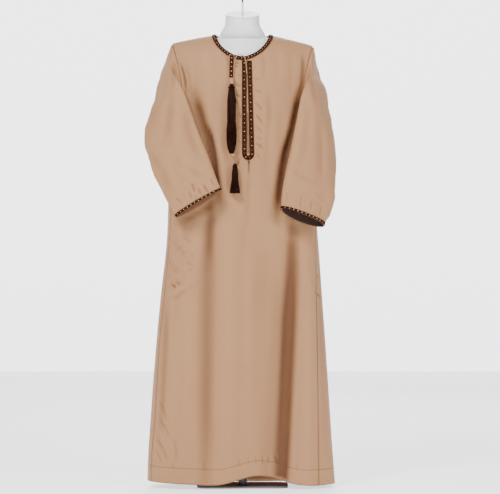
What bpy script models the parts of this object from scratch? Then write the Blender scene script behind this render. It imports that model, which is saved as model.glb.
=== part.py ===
"""Ankle-length thobe robe with patterned trims and a tassel, on a limbless dress form.

Metres, +Z up. The origin is on the floor under the middle of the base plate, and the
front of the robe faces -Y. Right and left are the wearer's: the right sleeve is at -X.
The cloth pieces are open sheets worked out from the tables below, with Solidify walls.
"""

import math

import bmesh
import bpy
from mathutils import Vector

WALL = 0.0016
TRIM_WALL = 0.0013
SEAM_HALF_GAP = 0.0004
TRIM_GAP = 0.0007
NECK_TRIM_GAP = 0.0019
CORD_GAP = 0.0006
ARMHOLE_GAP = 0.0009
ARMHOLE_SHELF = 0.0050
TRIM_WIDTH = 0.0123
MERGE = 0.0001

SQUARENESS = 2.3
SHOULDER_ROLL = 0.09
ARMPIT_HEIGHT = 1.20
SHOULDER_POINT = 0.232
ARMHOLE_TOP = 1.458

NECK_HALF_WIDTH = 0.0884
NECK_FRONT_DROP = 0.080
NECK_BACK_REACH = 0.066
NECK_BACK_RISE = 0.058
NECK_ROUNDNESS = 1.75

# height, right half width, left half width, front depth, back depth
BODY = (
    (0.00, 0.3160, 0.3090, 0.110, 0.106),
    (0.11, 0.3125, 0.3003, 0.111, 0.106),
    (0.21, 0.3059, 0.2937, 0.112, 0.107),
    (0.35, 0.2960, 0.2842, 0.114, 0.109),
    (0.50, 0.2835, 0.2740, 0.116, 0.111),
    (0.65, 0.2690, 0.2630, 0.118, 0.113),
    (0.79, 0.2525, 0.2535, 0.119, 0.114),
    (0.88, 0.2478, 0.2460, 0.120, 0.114),
    (1.05, 0.2450, 0.2450, 0.121, 0.113),
    (1.20, 0.2450, 0.2450, 0.120, 0.112),
    (1.32, 0.2450, 0.2450, 0.110, 0.107),
    (1.40, 0.2450, 0.2450, 0.095, 0.096),
    (1.49, 0.2450, 0.2450, 0.083, 0.080),
    (1.60, 0.2450, 0.2450, 0.080, 0.076),
)

# distance from the middle, height of the right shoulder, height of the left one
SHOULDER = (
    (0.0000, 1.4885, 1.4885),
    (0.0884, 1.4885, 1.4885),
    (0.1007, 1.4870, 1.4865),
    (0.1590, 1.4765, 1.4725),
    (0.2165, 1.4645, 1.4580),
    (0.2320, 1.4600, 1.4520),
    (0.2500, 1.4540, 1.4450),
)

# height, right seam x, left seam x
SIDE_SEAMS = (
    (0.00, -0.2995, 0.2490),
    (0.11, -0.2970, 0.2487),
    (0.22, -0.2865, 0.2478),
    (0.50, -0.2700, 0.2430),
    (0.65, -0.2535, 0.2402),
    (0.80, -0.2400, 0.2398),
    (0.88, -0.2345, 0.2385),
    (1.05, -0.2370, 0.2395),
    (1.20, -0.2440, 0.2440),
)

# height, distance of the armhole's edge from the middle at the front, and at the back
ARMHOLE = (
    (1.200, 0.2440, 0.2440),
    (1.215, 0.2270, 0.2350),
    (1.240, 0.2080, 0.2280),
    (1.290, 0.1985, 0.2230),
    (1.340, 0.2020, 0.2225),
    (1.390, 0.2130, 0.2250),
    (1.430, 0.2235, 0.2285),
    (1.460, 0.2320, 0.2320),
)

# x, height of the front hem, how far a wave lifts it inwards
HEM = (
    (-0.3200, 0.0215, 0.000),
    (-0.2490, 0.0175, 0.000),
    (-0.1640, 0.0157, 0.000),
    (-0.0790, 0.0150, 0.002),
    (-0.0230, 0.0270, 0.014),
    (0.0280, 0.0410, 0.032),
    (0.0700, 0.0405, 0.045),
    (0.1120, 0.0340, 0.036),
    (0.1540, 0.0200, 0.012),
    (0.2140, 0.0110, 0.000),
    (0.3200, 0.0115, 0.000),
)
HEM_WAVE_HEIGHT = 0.26
BACK_HEM = (
    (-0.3200, 0.0215, 0.000),
    (-0.2000, 0.0080, 0.004),
    (-0.0900, 0.0040, -0.006),
    (0.0200, 0.0035, 0.006),
    (0.1300, 0.0045, -0.006),
    (0.2300, 0.0080, 0.003),
    (0.3200, 0.0115, 0.000),
)

# top x and height, middle x and height, foot x and height, half width, depth inwards
FRONT_FOLDS = (
    (0.166, 0.90, 0.147, 0.46, 0.118, 0.06, 0.030, 0.020),
    (0.212, 0.88, 0.193, 0.46, 0.168, 0.05, 0.030, -0.009),
    (-0.101, 0.93, -0.122, 0.58, -0.140, 0.13, 0.036, 0.014),
    (-0.050, 0.90, -0.064, 0.52, -0.075, 0.10, 0.036, -0.006),
    (-0.176, 1.33, -0.138, 1.15, -0.098, 0.96, 0.028, 0.010),
    (-0.120, 1.26, -0.094, 1.10, -0.066, 0.93, 0.026, -0.005),
    (0.130, 1.24, 0.150, 1.06, 0.172, 0.84, 0.032, 0.008),
    (-0.205, 0.62, -0.215, 0.35, -0.228, 0.05, 0.034, 0.007),
)
BACK_FOLDS = (
    (-0.150, 1.22, -0.158, 0.70, -0.176, 0.05, 0.036, 0.014),
    (-0.060, 0.96, -0.052, 0.55, -0.038, 0.04, 0.038, 0.012),
    (0.045, 0.86, 0.062, 0.50, 0.086, 0.05, 0.036, 0.014),
    (0.150, 1.25, 0.160, 0.74, 0.182, 0.05, 0.034, 0.015),
    (-0.010, 1.30, 0.000, 1.12, 0.006, 0.90, 0.034, -0.006),
    (-0.105, 0.90, -0.108, 0.50, -0.112, 0.05, 0.034, -0.007),
    (0.112, 0.92, 0.118, 0.50, 0.130, 0.05, 0.034, -0.007),
)

# x, y, z of each ring's shoulder line, inner crease, underside and elbow line
RIGHT_SLEEVE = (
    (-0.2518, -0.004, 1.4080, -0.2235, -0.103, 1.3180, -0.2580, -0.018, 1.1900, -0.2585, 0.040, 1.3000),
    (-0.2680, -0.038, 1.3680, -0.1950, -0.134, 1.2960, -0.2560, -0.044, 1.1760, -0.2740, 0.028, 1.2680),
    (-0.2640, -0.098, 1.3300, -0.1770, -0.144, 1.2680, -0.2400, -0.070, 1.1600, -0.2930, -0.018, 1.2600),
    (-0.2520, -0.143, 1.1920, -0.1590, -0.142, 1.2220, -0.2320, -0.084, 1.1380, -0.3170, -0.070, 1.1470),
    (-0.2288, -0.152, 1.1070, -0.1340, -0.150, 1.1490, -0.2100, -0.096, 1.0850, -0.3006, -0.090, 1.0620),
    (-0.2006, -0.160, 1.0400, -0.1065, -0.158, 1.0780, -0.1840, -0.107, 1.0400, -0.2767, -0.105, 1.0015),
    (-0.1726, -0.167, 0.9770, -0.0839, -0.163, 1.0140, -0.1587, -0.117, 0.9740, -0.2463, -0.118, 0.9365),
    (-0.1464, -0.172, 0.9310, -0.0665, -0.166, 0.9728, -0.1342, -0.125, 0.9240, -0.2132, -0.128, 0.8841),
)
LEFT_SLEEVE = (
    (0.2440, -0.004, 1.3980, 0.2200, -0.101, 1.3120, 0.2580, -0.018, 1.1900, 0.2570, 0.040, 1.2900),
    (0.2620, -0.038, 1.3500, 0.1960, -0.132, 1.2900, 0.2560, -0.044, 1.1760, 0.2700, 0.030, 1.2520),
    (0.2650, -0.096, 1.3180, 0.1840, -0.142, 1.2620, 0.2400, -0.068, 1.1600, 0.2870, -0.008, 1.2420),
    (0.2580, -0.122, 1.1900, 0.1740, -0.138, 1.2050, 0.2280, -0.080, 1.1380, 0.2995, -0.045, 1.1550),
    (0.2496, -0.132, 1.0990, 0.1580, -0.146, 1.1200, 0.2200, -0.084, 1.0800, 0.3072, -0.060, 1.0750),
    (0.2361, -0.143, 1.0180, 0.1405, -0.153, 1.0350, 0.2102, -0.089, 1.0130, 0.3040, -0.075, 0.9980),
    (0.2199, -0.152, 0.9460, 0.1280, -0.159, 0.9650, 0.1969, -0.099, 0.9380, 0.2880, -0.090, 0.9220),
    (0.2061, -0.158, 0.8910, 0.1246, -0.163, 0.9130, 0.1843, -0.108, 0.8710, 0.2653, -0.102, 0.8560),
)

# place along (0 to 1), angle in degrees, degrees of turn along it, half length, half angle, depth
RIGHT_SLEEVE_FOLDS = (
    (0.30, 62.0, 60.0, 0.14, 16.0, 0.006),
    (0.47, 128.0, -160.0, 0.10, 14.0, 0.005),
    (0.60, 95.0, 60.0, 0.16, 15.0, 0.004),
    (0.52, 285.0, 40.0, 0.18, 16.0, 0.005),
    (0.78, 60.0, 20.0, 0.14, 14.0, -0.004),
    (0.80, 250.0, 30.0, 0.14, 15.0, 0.004),
)
LEFT_SLEEVE_FOLDS = (
    (0.28, 58.0, 70.0, 0.14, 16.0, 0.006),
    (0.45, 122.0, -140.0, 0.12, 14.0, 0.004),
    (0.62, 84.0, 50.0, 0.18, 15.0, 0.004),
    (0.50, 290.0, 50.0, 0.20, 16.0, 0.005),
    (0.82, 108.0, 20.0, 0.12, 14.0, -0.003),
    (0.78, 255.0, 40.0, 0.14, 15.0, 0.004),
)
SLEEVE_SIDES = 22
SLEEVE_STEPS = 2

LOWER_ROWS = 20
ROW_SPREAD = 1.15
UPPER_ROWS = 4
ROLL_ROWS = 6
NECK_CROWDING = 0.22
FRONT_SIDE_COLUMNS = 9
FRONT_MIDDLE_COLUMNS = 6
BACK_SIDE_COLUMNS = 9
BACK_MIDDLE_COLUMNS = 4

PLACKET_TOP = 1.3942
PLACKET_TURN = 1.0896
PLACKET_BAND = 0.0150
PLACKET_MIDDLE_TOP = 0.0145
PLACKET_MIDDLE_FOOT = 0.0190
PLACKET_SPREAD_TOP = 0.00845
PLACKET_SPREAD_FOOT = 0.0123
UNDER_PLACKET = (0.0170, 1.222, 0.0189, 1.0945, 0.0048)
BAR_TACK = (0.0203, 1.0686, 0.0203, 1.0612, 0.0056)

STRAP = (-0.0345, 1.4130, -0.0360, 1.3353, 0.0180)
STRAP_TRIM = (-0.0345, 1.4112, -0.0363, 1.3385, 0.0130)
STRAP_GAP = 0.0040
STRAP_TRIM_GAP = 0.0059

TASSEL_X = -0.0350
BIND_TOP = 1.3355
BIND_FOOT = 1.3175
UPPER_TASSEL_TOP = 1.3170
UPPER_TASSEL_FOOT = 1.0905
LOWER_BIND_TOP = 1.0900
LOWER_BIND_FOOT = 1.0810
LOWER_BIND_X = -0.0295
LOWER_TASSEL_X = -0.0240
LOWER_TASSEL_TOP = 1.0600
LOWER_TASSEL_FOOT = 0.9620
TASSEL_STRANDS_ACROSS = 5

# height, y of the line that the tassels hang on, just in front of the chest
HANG_LINE = (
    (0.95, -0.1390),
    (1.06, -0.1388),
    (1.20, -0.1395),
    (1.27, -0.1335),
    (1.31, -0.1228),
    (1.34, -0.1180),
)

POCKET_TOP = 0.84
POCKET_FOOT = 0.63
POCKET_COLUMNS = 4
POCKET_GAP = 0.0004

# height, half width, front depth, back depth, squareness
FORM = (
    (0.640, 0.128, 0.064, 0.066, 2.2),
    (0.648, 0.145, 0.074, 0.078, 2.2),
    (0.670, 0.154, 0.078, 0.084, 2.2),
    (0.760, 0.162, 0.080, 0.088, 2.2),
    (0.860, 0.156, 0.078, 0.084, 2.2),
    (0.980, 0.143, 0.077, 0.074, 2.2),
    (1.080, 0.153, 0.084, 0.076, 2.2),
    (1.180, 0.168, 0.092, 0.082, 2.2),
    (1.280, 0.180, 0.094, 0.086, 2.2),
    (1.360, 0.186, 0.089, 0.083, 2.1),
    (1.410, 0.186, 0.081, 0.076, 1.85),
    (1.440, 0.180, 0.070, 0.068, 1.45),
    (1.4650, 0.1760, 0.0560, 0.061, 1.12),
    (1.4712, 0.1570, 0.0490, 0.058, 1.08),
    (1.4742, 0.1380, 0.0450, 0.056, 1.06),
    (1.4760, 0.1120, 0.0420, 0.055, 1.08),
    (1.4780, 0.0800, 0.0490, 0.057, 1.60),
    (1.4870, 0.0760, 0.0560, 0.0585, 1.85),
    (1.500, 0.0705, 0.0585, 0.0595, 2.0),
    (1.514, 0.0610, 0.0580, 0.0585, 2.0),
    (1.528, 0.0575, 0.0575, 0.0575, 2.0),
)
FORM_SIDES = 28
NECK_TOP = 1.5530
NECK_RADIUS = 0.0565
CAP_TILT = math.radians(17.8)
CAP_RADIUS = 0.0574
CAP_THICKNESS = 0.004

# radius, height of the finial's outline from the top down
FINIAL = (
    (0.0000, 1.6240), (0.0038, 1.6228), (0.0062, 1.6190), (0.0066, 1.6150),
    (0.0052, 1.6108), (0.0034, 1.6085), (0.0034, 1.5640), (0.0055, 1.5625),
    (0.0055, 1.5597), (0.0000, 1.5597),
)
POLE_RADIUS = 0.014
BASE_SIZE = (0.30, 0.14, 0.006)
BASE_CORNER = 0.03

CLOTH_COLOUR = (0.56, 0.36, 0.22, 1.0)
TRIM_COLOUR = (0.14, 0.055, 0.03, 1.0)
TASSEL_COLOUR = (0.035, 0.018, 0.012, 1.0)
FORM_COLOUR = (0.86, 0.86, 0.85, 1.0)
METAL_COLOUR = (0.10, 0.10, 0.11, 1.0)


def clear_scene():
    for item in list(bpy.data.objects):
        bpy.data.objects.remove(item, do_unlink=True)


def new_collection(name):
    collection = bpy.data.collections.new(name)
    bpy.context.scene.collection.children.link(collection)
    return collection


def material(name, colour, roughness, metallic=0.0):
    made = bpy.data.materials.new(name)
    made.use_nodes = True
    shader = made.node_tree.nodes["Principled BSDF"]
    shader.inputs["Base Color"].default_value = colour
    shader.inputs["Roughness"].default_value = roughness
    shader.inputs["Metallic"].default_value = metallic
    return made


def eased(share):
    share = min(max(share, 0.0), 1.0)
    return share * share * (3.0 - 2.0 * share)


def read_table(rows, where, column):
    """The value of a column at a place, on a smooth curve through the rows."""
    if where <= rows[0][0]:
        return rows[0][column]
    if where >= rows[-1][0]:
        return rows[-1][column]
    index = 0
    while rows[index + 1][0] < where:
        index += 1
    left, right = rows[index], rows[index + 1]
    span = right[0] - left[0]
    slopes = []
    for middle in (index, index + 1):
        before = rows[max(middle - 1, 0)]
        after = rows[min(middle + 1, len(rows) - 1)]
        slopes.append((after[column] - before[column]) / (after[0] - before[0]))
    t = (where - left[0]) / span
    start = (2 * t ** 3 - 3 * t ** 2 + 1) * left[column] + (t ** 3 - 2 * t ** 2 + t) * span * slopes[0]
    end = (3 * t ** 2 - 2 * t ** 3) * right[column] + (t ** 3 - t ** 2) * span * slopes[1]
    return start + end


def half_width(x, z):
    return read_table(BODY, z, 1 if x < 0 else 2)


def ridge(x):
    return read_table(SHOULDER, abs(x), 1 if x < 0 else 2)


def section(x, z, depth):
    """Distance of the rounded-rectangle section from the middle plane at x."""
    share = min(abs(x) / half_width(x, z), 1.0)
    return depth * (1.0 - share ** SQUARENESS) ** (1.0 / SQUARENESS)


def fold_depth(folds, x, z):
    """How far the folds of one side draw the cloth in at a point."""
    total = 0.0
    for top_x, top_z, middle_x, middle_z, foot_x, foot_z, width, depth in folds:
        if foot_z - 0.12 < z < top_z + 0.1:
            if z > middle_z:
                share = (top_z - z) / (top_z - middle_z)
                path = top_x + (middle_x - top_x) * share
            else:
                share = (middle_z - z) / (middle_z - foot_z)
                path = middle_x + (foot_x - middle_x) * share
            rise = eased((top_z + 0.1 - z) / 0.3) * eased((z - foot_z + 0.12) / 0.2)
            total += depth * rise * math.exp(-(((x - path) / width) ** 2))
    return total


def front_depth(x, z):
    depth = section(x, z, read_table(BODY, z, 3))
    wave = read_table(HEM, x, 2) * eased((HEM_WAVE_HEIGHT - z) / HEM_WAVE_HEIGHT) ** 1.5
    near_edge = eased(depth / 0.07)
    return depth - (fold_depth(FRONT_FOLDS, x, z) + wave) * near_edge


def back_depth(x, z):
    depth = section(x, z, read_table(BODY, z, 4))
    wave = read_table(BACK_HEM, x, 2) * eased((HEM_WAVE_HEIGHT - z) / HEM_WAVE_HEIGHT)
    near_edge = eased(depth / 0.07)
    return depth - (fold_depth(BACK_FOLDS, x, z) + wave) * near_edge


def roll_share(x, z, top):
    """The part of the full depth that the rounded shoulder leaves at a height."""
    low = min(max((top - z) / SHOULDER_ROLL, 0.0), 1.0)
    return math.sqrt(max(1.0 - (1.0 - low) ** 2, 0.0))


def front_point(x, z):
    depth = front_depth(x, z) * roll_share(x, z, ridge(x))
    return Vector((x, -SEAM_HALF_GAP - depth, z))


def back_ridge(x):
    share = min(abs(x) / NECK_HALF_WIDTH, 1.0)
    return ridge(x) + NECK_BACK_RISE * (1.0 - share ** 2) ** 2


def back_point(x, z):
    depth = back_depth(x, z) * roll_share(x, z, back_ridge(x))
    return Vector((x, SEAM_HALF_GAP + depth, z))


def neckline_front(x, width=NECK_HALF_WIDTH, drop=NECK_FRONT_DROP):
    share = min(abs(x) / width, 1.0)
    fall = (1.0 - share ** NECK_ROUNDNESS) ** (1.0 / NECK_ROUNDNESS)
    return ridge(x) - drop * fall


def neckline_back(x, width=NECK_HALF_WIDTH, below=0.0):
    """Height of the back neckline, an ellipse as seen from above, or of a line below it."""
    share = min(abs(x) / width, 1.0)
    middle = math.sqrt(1.0 - share ** 2)
    top = back_ridge(x)
    sine = min(NECK_BACK_REACH * middle / back_depth(x, top - 0.02), 1.0)
    turn = math.asin(sine) + below * middle / SHOULDER_ROLL
    return top - SHOULDER_ROLL * (1.0 - math.cos(turn))


def column_angles(first, last, side, middle):
    """Angles round a section: even from a seam to the neck's side, and finer across the middle."""
    neck = math.acos((NECK_HALF_WIDTH / SHOULDER_POINT) ** (SQUARENESS / 2.0))
    stops = (first, neck, math.pi - neck, last)
    counts = (side, 2 * middle, side)
    angles = [first]
    for start, end, count in zip(stops, stops[1:], counts):
        for step in range(1, count + 1):
            angles.append(start + (end - start) * step / count)
    return angles


def across(angle):
    value = math.cos(angle)
    return -math.copysign(abs(value) ** (2.0 / SQUARENESS), value)


def seam_angle(x, z):
    share = min(abs(x) / half_width(x, z), 1.0)
    return math.acos(share ** (SQUARENESS / 2.0))


def lower_height(share, x, hem):
    foot = read_table(hem, x, 1)
    return foot + (ARMPIT_HEIGHT - foot) * share


def upper_rows():
    """Shares of the way up the armhole part, and how far each is round the shoulder."""
    rows = [(step / UPPER_ROWS, 0.0) for step in range(1, UPPER_ROWS + 1)]
    rows += [(1.0, step / ROLL_ROWS) for step in range(1, ROLL_ROWS + 1)]
    return rows


def upper_point(share, turn, column, top, end_height, armhole_column, surface):
    """A point between the armpit and the shoulder seam or neckline."""
    edge_z = armhole_edge_height(share, turn)
    end_turn = math.acos(min(max(1.0 - (top - end_height) / SHOULDER_ROLL, 0.0), 1.0))
    if turn == 0.0:
        z = ARMPIT_HEIGHT + (top - SHOULDER_ROLL - ARMPIT_HEIGHT) * share
    else:
        if turn < 1.0:
            turn *= 1.0 - NECK_CROWDING * neck_nearness(column * SHOULDER_POINT)
        angle = math.pi / 2 + (end_turn - math.pi / 2) * turn
        z = top - SHOULDER_ROLL * (1.0 - math.cos(angle))
    x = column * read_table(ARMHOLE, edge_z, armhole_column)
    if turn == 0.0 and share < 1.0:
        z = edge_z + (z - edge_z) * (1.0 - abs(column) ** 4)
    return surface(x, z)


def neck_nearness(x):
    """One at the neck's side and less away from it, where columns run along the neckline."""
    share = abs(x) / NECK_HALF_WIDTH
    if share < 1.0:
        return share ** 8
    return math.exp(-(((share - 1.0) / 0.5) ** 2))


def armhole_edge_height(share, turn):
    if turn == 0.0:
        return ARMPIT_HEIGHT + (ARMHOLE_TOP - SHOULDER_ROLL - ARMPIT_HEIGHT) * share ** 1.5
    angle = math.pi / 2 * (1.0 - turn)
    return ARMHOLE_TOP - SHOULDER_ROLL * (1.0 - math.cos(angle))


def front_rows():
    rows = []
    for step in range(LOWER_ROWS + 1):
        share = (step / LOWER_ROWS) ** ROW_SPREAD
        z_side = lower_height(share, -0.3, HEM)
        first = seam_angle(read_table(SIDE_SEAMS, z_side, 1), z_side)
        last = math.pi - seam_angle(read_table(SIDE_SEAMS, z_side, 2), z_side)
        if step == LOWER_ROWS:
            first, last = 0.0, math.pi
        row = []
        for angle in column_angles(first, last, FRONT_SIDE_COLUMNS, FRONT_MIDDLE_COLUMNS):
            column = across(angle)
            x = column * half_width(column, z_side)
            if step == LOWER_ROWS:
                x = column * ARMHOLE[0][1]
            row.append(front_point(x, lower_height(share, x, HEM)))
        rows.append(row)
    for share, turn in upper_rows():
        row = []
        for angle in column_angles(0.0, math.pi, FRONT_SIDE_COLUMNS, FRONT_MIDDLE_COLUMNS):
            column = across(angle)
            end_x = column * SHOULDER_POINT
            top = ridge(end_x)
            row.append(upper_point(share, turn, column, top, neckline_front(end_x), 1, front_point))
        rows.append(row)
    return rows


def back_rows():
    rows = []
    for step in range(LOWER_ROWS + 1):
        share = (step / LOWER_ROWS) ** ROW_SPREAD
        z_side = lower_height(share, -0.3, BACK_HEM)
        first = -seam_angle(read_table(SIDE_SEAMS, z_side, 1) - 0.0006, z_side)
        last = math.pi + seam_angle(read_table(SIDE_SEAMS, z_side, 2) + 0.0006, z_side)
        if step == LOWER_ROWS:
            first, last = 0.0, math.pi
        row = []
        for angle in column_angles(first, last, BACK_SIDE_COLUMNS, BACK_MIDDLE_COLUMNS):
            column = across(angle)
            x = column * half_width(column, z_side)
            if step == LOWER_ROWS:
                x = column * ARMHOLE[0][2]
            if 0.0 <= angle <= math.pi:
                row.append(back_point(x, lower_height(share, x, BACK_HEM)))
            else:
                row.append(front_point(x, lower_height(share, x, HEM)))
        rows.append(row)
    for share, turn in upper_rows():
        row = []
        for angle in column_angles(0.0, math.pi, BACK_SIDE_COLUMNS, BACK_MIDDLE_COLUMNS):
            column = across(angle)
            end_x = column * SHOULDER_POINT
            top = back_ridge(end_x)
            row.append(upper_point(share, turn, column, top, neckline_back(end_x), 2, back_point))
        rows.append(row)
    return rows


def sheet_mesh(name, rows, closed=False, flip=False):
    """An open sheet of quads through rows of points, closed round each row for a tube."""
    made = bmesh.new()
    grid = [[made.verts.new(point) for point in row] for row in rows]
    for lower, upper in zip(grid, grid[1:]):
        count = len(lower)
        for index in range(count if closed else count - 1):
            after = (index + 1) % count
            corners = [lower[index], lower[after], upper[after], upper[index]]
            if flip:
                corners.reverse()
            made.faces.new(corners)
    mesh = bpy.data.meshes.new(name)
    made.normal_update()
    made.to_mesh(mesh)
    made.free()
    return mesh


def push_out(mesh, distance):
    """Moves each point along its own normal, off the cloth that the sheet was made from."""
    normals = [vertex.normal.copy() for vertex in mesh.vertices]
    for vertex, normal in zip(mesh.vertices, normals):
        vertex.co = vertex.co + normal * distance


def add_object(collection, name, mesh, finish, parent):
    item = bpy.data.objects.new(name, mesh)
    item.data.materials.append(finish)
    item.parent = parent
    collection.objects.link(item)
    for polygon in mesh.polygons:
        polygon.use_smooth = True
    return item


def give_wall(item, thickness, offset):
    wall = item.modifiers.new("Wall", "SOLIDIFY")
    wall.thickness = thickness
    wall.offset = offset
    wall.use_rim = True
    return item


def body_panels(collection, finish, parent):
    front = add_object(collection, "front_panel", sheet_mesh("front_panel", front_rows()), finish, parent)
    give_wall(front, WALL, -1.0)
    back_mesh = sheet_mesh("back_panel", back_rows(), flip=True)
    back = add_object(collection, "back_panel", back_mesh, finish, parent)
    give_wall(back, WALL, -1.0)


def spaced(points, count):
    """Points at even steps along a chain of points, both ends kept."""
    lengths = [0.0]
    for start, end in zip(points, points[1:]):
        lengths.append(lengths[-1] + (end - start).length)
    made = []
    for step in range(count + 1):
        goal = lengths[-1] * step / count
        index = 0
        while index < len(points) - 2 and lengths[index + 1] < goal:
            index += 1
        share = (goal - lengths[index]) / (lengths[index + 1] - lengths[index])
        made.append(points[index].lerp(points[index + 1], share))
    return made


def armhole_ring(side, count):
    """The armhole from the shoulder down the front, under the arm and up the back, a gap out."""
    column = 0 if side < 0 else -1
    front = [row[column] for row in front_rows()[LOWER_ROWS:]]
    back = [row[column] for row in back_rows()[LOWER_ROWS:]]
    ring = []
    for edge, surface in ((reversed(front), front_point), (back, back_point)):
        moved = [surface(point.x + side * ARMHOLE_GAP, point.z) for point in edge]
        ring += spaced(moved, count // 2)[:-1]
    ring[0].y = 0.0
    ring[count // 2].y = 0.0
    ring[count // 2].x = side * (half_width(side, ARMPIT_HEIGHT) + ARMHOLE_GAP)
    return ring


def sleeve_key_ring(row, count):
    shoulder, crease, under, elbow = [Vector(row[start:start + 3]) for start in (0, 3, 6, 9)]
    centre = (shoulder + crease + under + elbow) / 4
    points = []
    for step in range(count):
        angle = 2 * math.pi * step / count
        cosine, sine = math.cos(angle), math.sin(angle)
        upright = shoulder if cosine > 0 else under
        level = crease if sine > 0 else elbow
        points.append(centre + (upright - centre) * abs(cosine) + (level - centre) * abs(sine))
    return points


def smooth_step(points, t):
    before, start, end, after = points
    return 0.5 * (
        2 * start
        + (end - before) * t
        + (2 * before - 5 * start + 4 * end - after) * t ** 2
        + (3 * start - before - 3 * end + after) * t ** 3
    )


def sleeve_point(rings, place, index):
    """A point at a place from 0 at the armhole to 1 at the cuff, on the line of one ring point."""
    spans = len(rings) - 1
    at = min(place * spans, spans - 0.000001)
    start = int(at)
    chosen = [rings[min(max(start + step, 0), spans)][index] for step in (-1, 0, 1, 2)]
    return smooth_step(chosen, at - start)


def sleeve_rows(side, table, folds, places, count):
    seam = armhole_ring(side, count)
    shelf = [point + Vector((side * ARMHOLE_SHELF, 0.0, 0.0)) for point in seam]
    rings = [seam, shelf] + [sleeve_key_ring(row, count) for row in table]
    rows = []
    for place in places:
        row = [sleeve_point(rings, place, index) for index in range(count)]
        centre = sum(row, Vector()) / count
        for index in range(count):
            angle = 360.0 * index / count
            inward = 0.0
            for start, turn, slope, length, spread, depth in folds:
                away = (angle - turn - slope * (place - start) + 180.0) % 360.0 - 180.0
                along = (place - start) / length
                inward += depth * math.exp(-((away / spread) ** 2) - along ** 2)
            inward *= eased((place - 0.11) / 0.15) * eased((1.0 - place) / 0.05)
            row[index] = row[index] + (centre - row[index]).normalized() * inward
        rows.append(row)
    return rows


def sleeves(collection, cloth, trim, parent):
    for name, side, table, folds in (
        ("right", -1, RIGHT_SLEEVE, RIGHT_SLEEVE_FOLDS),
        ("left", 1, LEFT_SLEEVE, LEFT_SLEEVE_FOLDS),
    ):
        total = (len(table) + 1) * SLEEVE_STEPS
        places = [step / total for step in range(total + 1)]
        rows = sleeve_rows(side, table, folds, places, SLEEVE_SIDES)
        mesh = sheet_mesh("sleeve_" + name, rows, closed=True, flip=side < 0)
        give_wall(add_object(collection, "sleeve_" + name, mesh, cloth, parent), WALL, -1.0)
        length = (Vector(table[-1][0:3]) - Vector(table[-2][0:3])).length * (len(table) + 1)
        band = TRIM_WIDTH / length
        rows = sleeve_rows(side, table, folds, (1.0 - band, 1.0), SLEEVE_SIDES)
        mesh = sheet_mesh("cuff_trim_" + name, rows, closed=True, flip=side < 0)
        push_out(mesh, TRIM_GAP)
        give_wall(add_object(collection, "cuff_trim_" + name, mesh, trim, parent), TRIM_WALL, 1.0)


def neck_trim(collection, finish, parent):
    rows = []
    start = math.asin((PLACKET_MIDDLE_TOP + 0.0006) / NECK_HALF_WIDTH)
    stop = math.asin((PLACKET_MIDDLE_TOP - 0.0006) / NECK_HALF_WIDTH)
    sweep = 2 * math.pi - start + stop
    steps = 44
    for step in range(steps + 1):
        angle = start + sweep * step / steps
        row = []
        for share in (0.0, 0.5, 1.0):
            width = NECK_HALF_WIDTH + TRIM_WIDTH * share
            x = width * math.sin(angle)
            if math.cos(angle) >= 0.0:
                z = neckline_front(x, width, NECK_FRONT_DROP + TRIM_WIDTH * share)
                row.append(front_point(x, z))
            else:
                z = neckline_back(x, width, TRIM_WIDTH * share)
                row.append(back_point(x, z))
        rows.append(row)
    mesh = sheet_mesh("neck_trim", rows)
    push_out(mesh, NECK_TRIM_GAP)
    give_wall(add_object(collection, "neck_trim", mesh, finish, parent), TRIM_WALL, 1.0)


def ribbon(collection, name, path, width, gap, finish, parent):
    """A flat band on the front panel along a path of x and height."""
    rows = []
    for index, (x, z) in enumerate(path):
        before = path[max(index - 1, 0)]
        after = path[min(index + 1, len(path) - 1)]
        along = Vector((after[0] - before[0], after[1] - before[1])).normalized()
        side = Vector((-along.y, along.x)) * (width / 2)
        row = [front_point(x + side.x * share, z + side.y * share) for share in (-1.0, 0.0, 1.0)]
        rows.append(row)
    mesh = sheet_mesh(name, rows)
    mesh_normal = sum((polygon.normal for polygon in mesh.polygons), Vector())
    if mesh_normal.y > 0:
        mesh.flip_normals()
    push_out(mesh, gap)
    return give_wall(add_object(collection, name, mesh, finish, parent), TRIM_WALL, 1.0)


def straight_path(top_x, top_z, foot_x, foot_z, steps):
    return [
        (top_x + (foot_x - top_x) * step / steps, top_z + (foot_z - top_z) * step / steps)
        for step in range(steps + 1)
    ]


def placket(collection, trim, tack, parent):
    top, foot = PLACKET_MIDDLE_TOP, PLACKET_MIDDLE_FOOT
    wide, narrow = PLACKET_SPREAD_FOOT, PLACKET_SPREAD_TOP
    path = straight_path(top - narrow, PLACKET_TOP, foot - wide, PLACKET_TURN, 14)
    for step in range(1, 8):
        angle = math.pi * step / 8
        path.append((foot - wide * math.cos(angle), PLACKET_TURN - wide * math.sin(angle)))
    path += reversed(straight_path(top + narrow, PLACKET_TOP, foot + wide, PLACKET_TURN, 14))
    ribbon(collection, "placket_trim", path, PLACKET_BAND, TRIM_GAP, trim, parent)
    under = straight_path(*UNDER_PLACKET[:4], 5)
    ribbon(collection, "under_placket", under, UNDER_PLACKET[4], TRIM_GAP, trim, parent)
    ribbon(collection, "bar_tack", straight_path(*BAR_TACK[:4], 1), BAR_TACK[4], TRIM_GAP, tack, parent)


def turned(collection, name, profile, x, y, steps, finish, parent):
    """A turned piece: its outline from the top down, spun by a Screw modifier."""
    mesh = bpy.data.meshes.new(name)
    edges = [(index, index + 1) for index in range(len(profile) - 1)]
    mesh.from_pydata([(radius, 0.0, height) for radius, height in profile], edges, [])
    item = bpy.data.objects.new(name, mesh)
    item.data.materials.append(finish)
    item.location = (x, y, 0.0)
    item.parent = parent
    collection.objects.link(item)
    spin = item.modifiers.new("Turned", "SCREW")
    spin.steps = steps
    spin.render_steps = steps
    spin.use_merge_vertices = True
    spin.merge_threshold = MERGE
    spin.use_smooth_shade = True
    return item


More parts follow.
